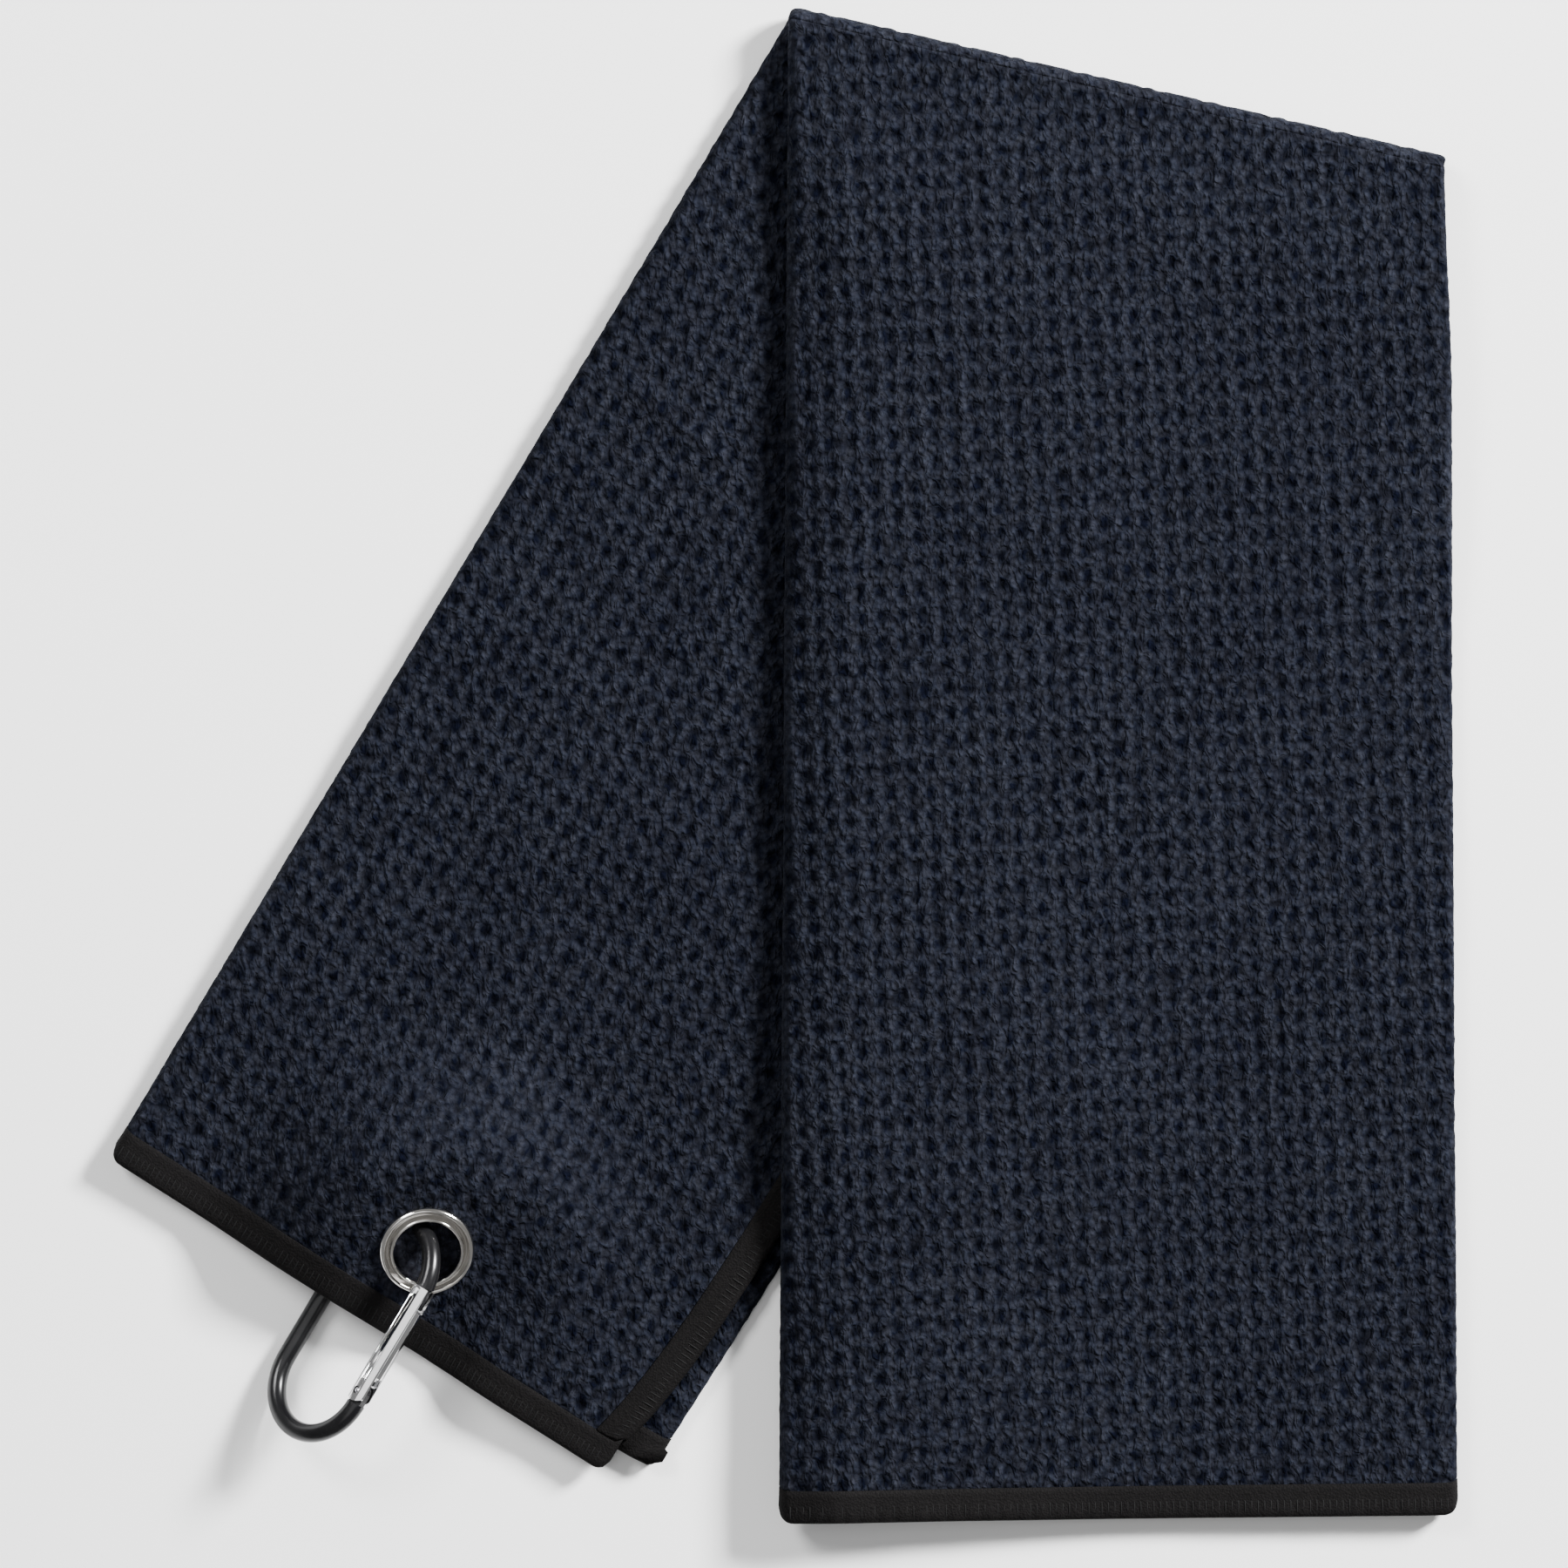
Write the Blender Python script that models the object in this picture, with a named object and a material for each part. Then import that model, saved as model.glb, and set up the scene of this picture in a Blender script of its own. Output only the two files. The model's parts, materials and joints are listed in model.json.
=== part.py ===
"""Golf towel: a waffle cloth folded in thirds, folded over once, with an eyelet and a snap clip.

Units are metres and +Z is up. The towel lies on the plane z = 0 with the middle of its
outline above the origin. The thirds make a strip three layers thick. Its lower panel lies
on the table and leans to the right; at a slanting crease the strip turns over onto itself,
and the upper panel comes straight down the page over the right half of the lower one.

Places on a panel are given along the strip's own directions: u runs across it from the left
fold to the right fold, v runs up the lower panel from its hem, w runs down the upper panel
from the crease, and height is counted up through the layers from the lower panel's face on
the table.
"""

from math import atan2, cos, exp, hypot, pi, radians, sin, sqrt, tan

import bmesh
import bpy
from mathutils import Matrix, Vector

# ---------------------------------------------------------------- driving dimensions
# Strip and folds
STRIP_WIDTH = 0.1355
LOWER_LEFT_LENGTH = 0.2813
UPPER_LEFT_LENGTH = 0.3188
UPPER_RIGHT_LENGTH = 0.2855
STRIP_LEAN = radians(30.86)
CREASE_DROP = radians(12.9)
UPPER_FLARE = radians(0.35)
TOP_HEM_SKEW = radians(-1.6)
UNDER_HEM_SKEW = radians(1.0)
HEM_SKEW_END = 0.020
HEM_STRAIGHT = 0.0105
HEM_FALL = 0.0135

# Cloth
LAYER_THICKNESS = 0.0013
LAYER_GAP = 0.0003
TOP_EDGE_INSET = 0.0039
TOP_EDGE_FLARE = 0.0072
TOP_EDGE_FLARE_LENGTH = 0.025
INNER_EDGE_INSET = 0.004
PANEL_GAP = 0.0003
DRAPE_START = 0.016
DRAPE_RUN = 0.046

# Binding tape
BINDING_WIDTH = 0.007
BINDING_WALL = 0.00025
BINDING_CLEARANCE = 0.00015
BINDING_END_WALL = 0.0004
BINDING_JOIN_GAP = 0.0003

# Eyelet
EYELET_INSET = 0.0186
EYELET_HOLE_RADIUS = 0.00705
EYELET_FLANGE_RADIUS = 0.0102
EYELET_BARREL_WALL = 0.0005
EYELET_FLANGE_RISE = 0.0008
EYELET_LIP_RADIUS = 0.0086
EYELET_LIP_HEIGHT = 0.00045
WASHER_THICKNESS = 0.0004
EYELET_SEAT_GAP = 0.00015
EYELET_HEIGHT = 0.0103
EYELET_TILT_UP_STRIP = radians(16.2)
EYELET_TILT_TO_LEFT = radians(17.2)
STACK_SQUEEZE = 0.57
LIFT_REACH = 0.050
LIFT_FLAT_RADIUS = 0.014
SLOPE_REACH = 0.016
SQUEEZE_REACH = 0.030

# Snap clip
CLIP_TILT = radians(41.0)
CLIP_WIDTH = 0.0237
ROD_RADIUS = 0.0020
TOP_BEND_CENTRE = 0.0016
BOTTOM_BEND_CENTRE = 0.0282
NOSE_BELOW_EYELET = 0.0071
NOSE_RIGHT_OF_EYELET = 0.0042
GATE_RADIUS = 0.0024
GATE_HINGE = 0.0255
GATE_NOSE_GAP = 0.0003
SLOT_WIDTH = 0.0021
NOSE_SLOT_DEPTH = 0.0052
HINGE_SLOT_START = 0.0213
TANG_THICKNESS = 0.0015
NOSE_TANG_LENGTH = 0.0045
NOSE_TANG_HALF_HEIGHT = 0.0015
HINGE_TANG_RADIUS = 0.0017
PIN_RADIUS = 0.00065
PIN_CLEARANCE = 0.00015
PIN_HALF_LENGTH = 0.0020
LATCH_PLACE = 0.0022
LATCH_CLEARANCE = 0.0003
BORE_RADIUS = 0.00125
BORE_END = 0.0095
SPRING_RADIUS = 0.00085
SPRING_WIRE_RADIUS = 0.00018
SPRING_TURNS = 9
PLUNGER_RADIUS = 0.00085
PLUNGER_LENGTH = 0.0016
SEAT_GAP = 0.0003

# Detail of the faceted surfaces
SLOPE_STEP = 0.0005
ROUND_SEGMENTS = 16
EYELET_SEGMENTS = 40
BEND_STEPS = 14
FOLD_STEPS = 4
SPRING_STEPS_PER_TURN = 12
WIRE_SEGMENTS = 6
CUT_MARGIN = 0.004

# ---------------------------------------------------------------- values that follow
LAYER_PITCH = LAYER_THICKNESS + LAYER_GAP
STACK_HEIGHT = 3 * LAYER_THICKNESS + 2 * LAYER_GAP
BOTTOM_MID = LAYER_THICKNESS / 2
INNER_MID = BOTTOM_MID + LAYER_PITCH
TOP_MID = INNER_MID + LAYER_PITCH
FULL_HALF = LAYER_THICKNESS / 2
THIN_HALF = FULL_HALF - BINDING_WALL - BINDING_CLEARANCE
CREASE_HEIGHT = STACK_HEIGHT + PANEL_GAP / 2
CREASE_END_GAP = PANEL_GAP / 2

ALONG = Vector((sin(STRIP_LEAN), cos(STRIP_LEAN), 0.0))
ACROSS = Vector((cos(STRIP_LEAN), -sin(STRIP_LEAN), 0.0))
CREASE_AXIS = Vector((cos(CREASE_DROP), -sin(CREASE_DROP), 0.0))
FOLD_ANGLE = STRIP_LEAN - CREASE_DROP
CREASE_LENGTH = STRIP_WIDTH / cos(FOLD_ANGLE)

OUTLINE_LEFT = -LOWER_LEFT_LENGTH * sin(STRIP_LEAN)
OUTLINE_RIGHT = CREASE_LENGTH * cos(CREASE_DROP) + UPPER_RIGHT_LENGTH * sin(UPPER_FLARE)
OUTLINE_BOTTOM = -UPPER_LEFT_LENGTH * cos(UPPER_FLARE)
CREASE_START = Vector((-(OUTLINE_LEFT + OUTLINE_RIGHT) / 2, -OUTLINE_BOTTOM / 2, CREASE_HEIGHT))
STRIP_CORNER = Vector((CREASE_START.x, CREASE_START.y, 0.0)) - ALONG * LOWER_LEFT_LENGTH

EYELET_U = STRIP_WIDTH / 2
EYELET_V = EYELET_INSET
SLOPE_UP_STRIP = tan(EYELET_TILT_UP_STRIP)
SLOPE_TO_LEFT = tan(EYELET_TILT_TO_LEFT)
EYELET_CENTRE = STRIP_CORNER + ACROSS * EYELET_U + ALONG * EYELET_V + Vector((0, 0, EYELET_HEIGHT))
EYELET_NORMAL = (Vector((0, 0, 1)) + ACROSS * SLOPE_TO_LEFT - ALONG * SLOPE_UP_STRIP).normalized()
SQUEEZED_HALF = STACK_HEIGHT * STACK_SQUEEZE / 2
GRIP_HALF = SQUEEZED_HALF * EYELET_NORMAL.z

BEND_RADIUS = CLIP_WIDTH / 2
SPINE_RUN = CLIP_WIDTH * cos(CLIP_TILT)
CLIP_NOSE = STRIP_CORNER + ACROSS * (EYELET_U + NOSE_RIGHT_OF_EYELET)
CLIP_NOSE += ALONG * (EYELET_V - NOSE_BELOW_EYELET)
CLIP_NOSE.z = ROD_RADIUS + CLIP_WIDTH * sin(CLIP_TILT)
CLIP_LONG = -ALONG
CLIP_WIDE = -ACROSS * cos(CLIP_TILT) - Vector((0, 0, sin(CLIP_TILT)))
CLIP_SQUARE = CLIP_LONG.cross(CLIP_WIDE)

# Places across the strip and along a panel where the cloth mesh has points
NEAR_EYELET = (0.0045, 0.009, 0.0125, 0.0175, 0.0235, 0.031, 0.040)
LEFT_COLUMNS = [EYELET_U - 0.050] + [EYELET_U - step for step in reversed(NEAR_EYELET)]
RIGHT_COLUMNS = [EYELET_U + step for step in NEAR_EYELET] + [EYELET_U + 0.048]
LOWER_COLUMNS = LEFT_COLUMNS + [EYELET_U] + RIGHT_COLUMNS
UPPER_COLUMNS = [STRIP_WIDTH * k / 14 for k in range(1, 14)]
HEM_STEPS = (0.0085, 0.012, 0.016, 0.020, 0.024, 0.0275, 0.031, 0.036, 0.043, 0.052, 0.064, 0.078)
LOWER_FAR_STEPS = (0.3, 0.65, 1.0)
UPPER_STEPS = 26


# ---------------------------------------------------------------- scene helpers
def clear_scene():
    for old in list(bpy.data.objects):
        bpy.data.objects.remove(old)


def material(name, colour, roughness, metallic):
    made = bpy.data.materials.new(name)
    made.use_nodes = True
    shader = made.node_tree.nodes["Principled BSDF"]
    shader.inputs["Base Color"].default_value = (*colour, 1.0)
    shader.inputs["Roughness"].default_value = roughness
    shader.inputs["Metallic"].default_value = metallic
    return made


def finish_mesh(name, bm, surface, frame, smooth):
    """One object from a bmesh given in world coordinates, with its origin at frame."""
    bm.transform(frame.inverted())
    bmesh.ops.recalc_face_normals(bm, faces=bm.faces)
    mesh = bpy.data.meshes.new(name)
    bm.to_mesh(mesh)
    bm.free()
    made = bpy.data.objects.new(name, mesh)
    made.matrix_world = frame
    bpy.context.scene.collection.objects.link(made)
    mesh.materials.append(surface)
    if smooth:
        mesh.shade_smooth()
        mesh.set_sharp_from_angle(angle=radians(35))
    return made


def box_bmesh(low, high):
    bm = bmesh.new()
    bmesh.ops.create_cube(bm, size=1.0)
    size = [b - a for a, b in zip(low, high)]
    middle = [(a + b) / 2 for a, b in zip(low, high)]
    bmesh.ops.scale(bm, vec=size, verts=bm.verts)
    bmesh.ops.translate(bm, vec=middle, verts=bm.verts)
    return bm


def cylinder_bmesh(radius, length, centre, direction, segments=ROUND_SEGMENTS):
    bm = bmesh.new()
    turn = Vector(direction).to_track_quat("Z", "Y").to_matrix().to_4x4()
    bmesh.ops.create_cone(
        bm,
        cap_ends=True,
        segments=segments,
        radius1=radius,
        radius2=radius,
        depth=length,
        matrix=Matrix.Translation(centre) @ turn,
    )
    return bm


def tool_object(bm, frame):
    """A hidden cutter or filler for a Boolean, given in the frame's own coordinates."""
    bmesh.ops.recalc_face_normals(bm, faces=bm.faces)
    mesh = bpy.data.meshes.new("tool")
    bm.to_mesh(mesh)
    bm.free()
    made = bpy.data.objects.new("tool", mesh)
    made.matrix_world = frame
    made.hide_render = True
    made.display_type = "WIRE"
    bpy.context.scene.collection.objects.link(made)
    return made


def boolean(target, operation, bm, frame):
    modifier = target.modifiers.new(operation.lower(), "BOOLEAN")
    modifier.operation = operation
    modifier.object = tool_object(bm, frame)


# ---------------------------------------------------------------- where the panels lie
def smooth_step(x):
    t = min(1.0, max(0.0, x))
    return t * t * (3 - 2 * t)


def lift(u, v):
    """Height of the lower panel's underside: it rises over the clip where the eyelet is."""
    if v < HEM_STRAIGHT:
        height = raised(u, HEM_STRAIGHT)
        slope = (raised(u, HEM_STRAIGHT + SLOPE_STEP) - height) / SLOPE_STEP
        return height + min(slope, height / HEM_FALL) * (v - HEM_STRAIGHT)
    return raised(u, v)


def raised(u, v):
    du, dv = u - EYELET_U, v - EYELET_V
    distance = hypot(du, dv)
    hold = 1 / (1 + (max(0.0, distance - LIFT_FLAT_RADIUS) / SLOPE_REACH) ** 2)
    slope = hold * (SLOPE_UP_STRIP * dv - SLOPE_TO_LEFT * du)
    fall = 1 - smooth_step((distance - LIFT_FLAT_RADIUS) / (LIFT_REACH - LIFT_FLAT_RADIUS))
    return fall * (EYELET_HEIGHT - SQUEEZED_HALF + slope)


def squeeze(u, v):
    """How far the three layers are pressed together, 1 where they lie free."""
    distance = hypot(u - EYELET_U, max(v, HEM_STRAIGHT) - EYELET_V)
    share = smooth_step((distance - LIFT_FLAT_RADIUS) / (SQUEEZE_REACH - LIFT_FLAT_RADIUS))
    return STACK_SQUEEZE + (1 - STACK_SQUEEZE) * share


def lower_point(u, v, height):
    flat = STRIP_CORNER + ACROSS * u + ALONG * v
    return Vector((flat.x, flat.y, lift(u, v) + squeeze(u, v) * height))


def crease_reach(u):
    """Length of the lower panel from its hem line to the crease, at u."""
    return LOWER_LEFT_LENGTH + u * tan(FOLD_ANGLE) - CREASE_END_GAP / cos(FOLD_ANGLE)


def drape(flat):
    """Height of the upper panel's underside: it comes down past the lower panel's right edge."""
    past_edge = (flat - STRIP_CORNER).dot(ACROSS) - STRIP_WIDTH
    fall = smooth_step((past_edge - DRAPE_START) / DRAPE_RUN)
    return (STACK_HEIGHT + PANEL_GAP) * (1 - fall)


def upper_point(u, w, height):
    share = u / STRIP_WIDTH
    turn = UPPER_FLARE * (2 * share - 1)
    start = CREASE_START + CREASE_AXIS * (CREASE_LENGTH * share)
    flat = start + Vector((sin(turn), -cos(turn), 0)) * w
    flat.z = 0.0
    return Vector((flat.x, flat.y, drape(flat) + STACK_HEIGHT - height))


def upper_reach(u):
    share = u / STRIP_WIDTH
    return UPPER_LEFT_LENGTH + (UPPER_RIGHT_LENGTH - UPPER_LEFT_LENGTH) * share


def top_edge(v):
    """Where the top third's bound edge lies: it spreads towards the hem."""
    return STRIP_WIDTH - TOP_EDGE_INSET - TOP_EDGE_FLARE * exp(-max(v, 0) / TOP_EDGE_FLARE_LENGTH)


def hem_shift(u, on_top):
    return u * tan(TOP_HEM_SKEW if on_top else UNDER_HEM_SKEW)


# ---------------------------------------------------------------- section through the thirds
def thirds_path(edge, columns):
    """Middle line of the three layers from the top third's edge to the inner third's.

    Each point is (u, height, outward u, outward height, near a bound edge, on the top third).
    """
    left_radius = (TOP_MID - BOTTOM_MID) / 2
    right_radius = (INNER_MID - BOTTOM_MID) / 2
    left = left_radius + FULL_HALF
    right = STRIP_WIDTH - right_radius - FULL_HALF
    inner = INNER_EDGE_INSET
    end = BINDING_END_WALL + BINDING_CLEARANCE
    step = BINDING_CLEARANCE

    path = []
    for u in (edge - end, edge - BINDING_WIDTH - step):
        path.append((u, TOP_MID, 0, 1, True, True))
    path.append((edge - BINDING_WIDTH - 2 * step, TOP_MID, 0, 1, False, True))
    path += [(u, TOP_MID, 0, 1, False, True) for u in reversed(columns) if u < edge - end - BINDING_WIDTH]
    for k in range(FOLD_STEPS + 1):
        a = pi / 2 + pi * k / FOLD_STEPS
        height = BOTTOM_MID + left_radius + left_radius * sin(a)
        path.append((left + left_radius * cos(a), height, cos(a), sin(a), False, k < FOLD_STEPS / 2))
    path += [(u, BOTTOM_MID, 0, -1, False, False) for u in columns]
    for k in range(FOLD_STEPS + 1):
        a = -pi / 2 + pi * k / FOLD_STEPS
        height = BOTTOM_MID + right_radius + right_radius * sin(a)
        path.append((right + right_radius * cos(a), height, cos(a), sin(a), False, False))
    far = inner + BINDING_WIDTH + 2 * step
    path += [(u, INNER_MID, 0, 1, False, False) for u in reversed(columns) if u > far + end]
    path.append((far, INNER_MID, 0, 1, False, False))
    for u in (far - step, inner + end):
        path.append((u, INNER_MID, 0, 1, True, False))
    return path


def heads_right(path):
    """For each step of a path, whether it runs towards the strip's right side."""
    return [after[0] > before[0] for before, after in zip(path, path[1:])]


def split_quad(bm, corners, other_way):
    """Two triangles, so that layers lying on each other bend along the same lines."""
    a, b, c, d = corners
    if other_way:
        a, b, c, d = b, c, d, a
    bm.faces.new((a, b, c))
    bm.faces.new((a, c, d))


def skin_bmesh(rows, rightward):
    """A closed sheet: rows of (outer point, inner point) pairs."""
    bm = bmesh.new()
    outer = [[bm.verts.new(pair[0]) for pair in row] for row in rows]
    inner = [[bm.verts.new(pair[1]) for pair in row] for row in rows]
    last_row, last = len(rows) - 1, len(rows[0]) - 1
    for j in range(last_row):
        n = j + 1
        for k, way in enumerate(rightward):
            m = k + 1
            split_quad(bm, (outer[j][k], outer[j][m], outer[n][m], outer[n][k]), way)
            split_quad(bm, (inner[j][k], inner[n][k], inner[n][m], inner[j][m]), way)
        for k in (0, last):
            bm.faces.new((outer[j][k], outer[n][k], inner[n][k], inner[j][k]))
    for j in (0, last_row):
        for k in range(last):
            bm.faces.new((outer[j][k], inner[j][k], inner[j][k + 1], outer[j][k + 1]))
    return bm


def channel_bmesh(rings, rightward):
    """A swept U-shaped tape: each ring is the eight corners of its section, in order."""
    bm = bmesh.new()
    loops = [[bm.verts.new(point) for point in ring] for ring in rings]
    for first, second, way in zip(loops, loops[1:], rightward):
        for k in range(8):
            n = (k + 1) % 8
            split_quad(bm, (first[k], first[n], second[n], second[k]), way != (k in (2, 6)))
    for ring in (loops[0], loops[-1]):
        for corners in ((0, 1, 2, 3), (0, 3, 4, 7), (4, 5, 6, 7)):
            bm.faces.new([ring[k] for k in corners])
    return bm


def tape_section(width):
    """Corners of the binding's section as (distance in from the cloth's edge, offset)."""
    inner_half = THIN_HALF + BINDING_CLEARANCE
    wall = BINDING_END_WALL
    return (
        (0.0, FULL_HALF),
        (width, FULL_HALF),
        (width, inner_half),
        (wall, inner_half),
        (wall, -inner_half),
        (width, -inner_half),
        (width, -FULL_HALF),
        (0.0, -FULL_HALF),
    )


TAPE = tape_section(BINDING_WIDTH)


class Panel:
    """One side of the crease: how its stations, edges and hem are placed."""

    def __init__(self, point, stations, columns, edge):
        self.point = point
        self.stations = stations
        self.columns = columns
        self.edge = edge

    def pair(self, entry, along, half):
        u, height, nu, nh = entry[:4]
        return [self.point(u + s * half * nu, along, height + s * half * nh) for s in (1, -1)]

    def cloth(self):
        rows = []
        for station, thin in self.stations:
            row = []
            path = thirds_path(self.edge(station), self.columns)
            for entry in path:
                half = THIN_HALF if thin or entry[4] else FULL_HALF
                row.append(self.pair(entry, self.place(station, entry[0], entry[5]), half))
            rows.append(row)
        return skin_bmesh(rows, heads_right(path))

    def hem(self):
        """Tape over the end of all three layers, along the same folded line."""
        rings = []
        path = thirds_path(self.edge(0.0), self.columns)
        overhang = BINDING_END_WALL + BINDING_CLEARANCE
        for index, entry in enumerate(path):
            u, height, nu, nh, _, on_top = entry
            if index == 0:
                u += overhang
            if index == len(path) - 1:
                u -= overhang
            ring = []
            for inward, offset in TAPE:
                along = self.place(inward, u, on_top)
                ring.append(self.point(u + offset * nu, along, height + offset * nh))
            rings.append(ring)
        return channel_bmesh(rings, heads_right(path))

    def edge_tape(self, height, on_top):
        """Tape along one long edge, from the hem tape to the crease."""
        rings = []
        stops = [BINDING_WIDTH + BINDING_JOIN_GAP]
        stops += [station for station, thin in self.stations if station > stops[0]]
        for station in stops:
            ring = []
            for inward, offset in TAPE:
                u = self.edge(station) - inward if on_top else INNER_EDGE_INSET + inward
                ring.append(self.point(u, self.place(station, u, on_top), height + offset))
            rings.append(ring)
        return channel_bmesh(rings, [not on_top] * (len(rings) - 1))


class LowerPanel(Panel):
    """Stations are distances up from the hem; those past the last hem step stretch to the crease."""

    def place(self, station, u, on_top):
        fade = (HEM_SKEW_END - station) / (HEM_SKEW_END - HEM_STEPS[0])
        start = hem_shift(u, on_top) * min(1.0, max(0.0, fade))
        near = HEM_STEPS[-1]
        if station <= near:
            return start + station
        share = station - near
        return start + near + share * (crease_reach(u) - start - near)


class UpperPanel(Panel):
    """Stations are distances up from the hem as shares of the panel, 1 at the crease."""

    def place(self, station, u, on_top):
        reach = upper_reach(u)
        if station < HEM_STEPS[0]:
            return reach - station
        share = (station - HEM_STEPS[0]) / (1 - HEM_STEPS[0])
        top = CREASE_END_GAP / cos(FOLD_ANGLE)
        return (reach - HEM_STEPS[0]) * (1 - share) + top * share


def hem_stations():
    end = BINDING_END_WALL + BINDING_CLEARANCE
    return [
        (end, True),
        (BINDING_WIDTH + BINDING_CLEARANCE, True),
        (BINDING_WIDTH + 2 * BINDING_CLEARANCE, False),
    ]


def lower_panel():
    stations = hem_stations() + [(s, False) for s in HEM_STEPS]
    stations += [(HEM_STEPS[-1] + s, False) for s in LOWER_FAR_STEPS]
    return LowerPanel(lower_point, stations, LOWER_COLUMNS, top_edge)


def upper_panel():
    first = HEM_STEPS[0]
    shares = [first + (1 - first) * k / UPPER_STEPS for k in range(1, UPPER_STEPS + 1)]
    stations = hem_stations() + [(s, False) for s in shares]
    return UpperPanel(upper_point, stations, UPPER_COLUMNS, lambda v: STRIP_WIDTH - TOP_EDGE_INSET)


# ---------------------------------------------------------------- cloth and tape
def add_panels(cloth, tape):
    at_table = Matrix.Identity(4)
    at_crease = Matrix.Translation(CREASE_START)
    lower, upper = lower_panel(), upper_panel()
    sheet = finish_mesh("cloth_lower_panel", lower.cloth(), cloth, at_table, False)
    hole = EYELET_HOLE_RADIUS + EYELET_BARREL_WALL + EYELET_SEAT_GAP
    reach = 2 * (STACK_HEIGHT + CUT_MARGIN)
    cutter = cylinder_bmesh(hole, reach, EYELET_CENTRE, EYELET_NORMAL, EYELET_SEGMENTS)
    boolean(sheet, "DIFFERENCE", cutter, at_table)
    finish_mesh("cloth_upper_panel", upper.cloth(), cloth, at_crease, False)
    for place, panel, frame in (("lower", lower, at_table), ("upper", upper, at_crease)):
        finish_mesh(f"hem_binding_{place}", panel.hem(), tape, frame, False)
        outer = panel.edge_tape(TOP_MID, True)
        finish_mesh(f"outer_edge_binding_{place}", outer, tape, frame, False)
        inner = panel.edge_tape(INNER_MID, False)
        finish_mesh(f"inner_edge_binding_{place}", inner, tape, frame, False)


# ---------------------------------------------------------------- eyelet
def turned(name, profile, surface, frame):
    """A ring from a closed (radius, height) outline, spun about the frame's Z axis."""
    bm = bmesh.new()
    ring = [bm.verts.new((radius, 0.0, height)) for radius, height in profile]
    edges = [bm.edges.new((a, b)) for a, b in zip(ring, ring[1:] + ring[:1])]
    bmesh.ops.spin(
        bm,
        geom=ring + edges,
        cent=(0, 0, 0),
        axis=(0, 0, 1),
        angle=2 * pi,
        steps=EYELET_SEGMENTS,
        use_merge=True,
    )
    bmesh.ops.remove_doubles(bm, verts=bm.verts, dist=1e-7)
    bm.transform(frame)
    return finish_mesh(name, bm, surface, frame, True)


def add_eyelet(surface):
    turn = EYELET_NORMAL.to_track_quat("Z", "Y").to_matrix().to_4x4()
    frame = Matrix.Translation(EYELET_CENTRE) @ turn
    bore, flange, lip = EYELET_HOLE_RADIUS, EYELET_FLANGE_RADIUS, EYELET_LIP_RADIUS
    barrel = bore + EYELET_BARREL_WALL
    seat = GRIP_HALF + EYELET_SEAT_GAP
    crown = seat + EYELET_FLANGE_RISE
    washer_top = -seat
    washer_bottom = washer_top - WASHER_THICKNESS
    lip_top = washer_bottom - EYELET_SEAT_GAP
    lip_bottom = lip_top - EYELET_LIP_HEIGHT
    middle = (barrel + flange) / 2
    rise = EYELET_FLANGE_RISE
    outline = [
        (bore, seat + 0.35 * rise),
        (bore + 0.0004, seat + 0.8 * rise),
        (barrel + 0.0005, seat + 0.9 * rise),
        (middle, crown),
        (flange - 0.0006, seat + 0.75 * rise),
        (flange, seat + 0.2 * rise),
        (flange, seat),
        (barrel, seat),
        (barrel, lip_top),
        (lip, lip_top),
        (lip, (lip_top + lip_bottom) / 2),
        (lip - 0.0004, lip_bottom),
        (bore + 0.0004, lip_bottom),
        (bore, lip_top),
    ]
    turned("eyelet", outline, surface, frame)
    hole = barrel + EYELET_SEAT_GAP
    washer = [(hole, washer_bottom), (flange, washer_bottom), (flange, washer_top), (hole, washer_top)]
    turned("eyelet_washer", washer, surface, frame)


# ---------------------------------------------------------------- snap clip
def clip_frame(along):
    """The clip's own axes: x along it from the nose, y from gate to spine, z square to both."""
    columns = Matrix((CLIP_LONG, CLIP_WIDE, CLIP_SQUARE)).transposed().to_4x4()
    return Matrix.Translation(CLIP_NOSE + CLIP_LONG * along) @ columns


def clip_line():
    """Centre line of the rod in the clip's own plane, from the nose round to the hinge."""
    first = TOP_BEND_CENTRE
    reach = GATE_NOSE_GAP + TOP_BEND_CENTRE
    start = atan2(reach, sqrt(BEND_RADIUS**2 - reach**2))
    line = []
    for k in range(BEND_STEPS + 1):
        a = start + (pi - start) * k / BEND_STEPS
        line.append((first - BEND_RADIUS * sin(a), BEND_RADIUS * (1 - cos(a))))
    for k in range(BEND_STEPS + 1):
        a = pi * k / BEND_STEPS
        line.append((BOTTOM_BEND_CENTRE + BEND_RADIUS * sin(a), BEND_RADIUS * (1 + cos(a))))
    return line


def join_rings(bm, rings):
    """Faces between rings of points, and a cap on each end."""
    for first, second in zip(rings, rings[1:]):
        for k in range(len(first)):
            n = (k + 1) % len(first)
            bm.faces.new((first[k], first[n], second[n], second[k]))
    for ring in (rings[0], rings[-1]):
        bm.faces.new(ring)


def swept_rod(line, radius, segments):
    """A round rod along a line in the z = 0 plane, cut square to x at its first and last point."""
    bm = bmesh.new()
    rings = []
    for index, (x, y) in enumerate(line):
        if index in (0, len(line) - 1):
            tangent = Vector((-1, 0, 0))
        else:
            before, after = line[index - 1], line[index + 1]
            tangent = Vector((after[0] - before[0], after[1] - before[1], 0)).normalized()
        side = Vector((-tangent.y, tangent.x, 0))
        ring = []
        for k in range(segments):
            a = 2 * pi * k / segments
            offset = side * radius * cos(a) + Vector((0, 0, radius * sin(a)))
            ring.append(bm.verts.new(Vector((x, y, 0)) + offset))
        rings.append(ring)
    join_rings(bm, rings)
    return bm


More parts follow.
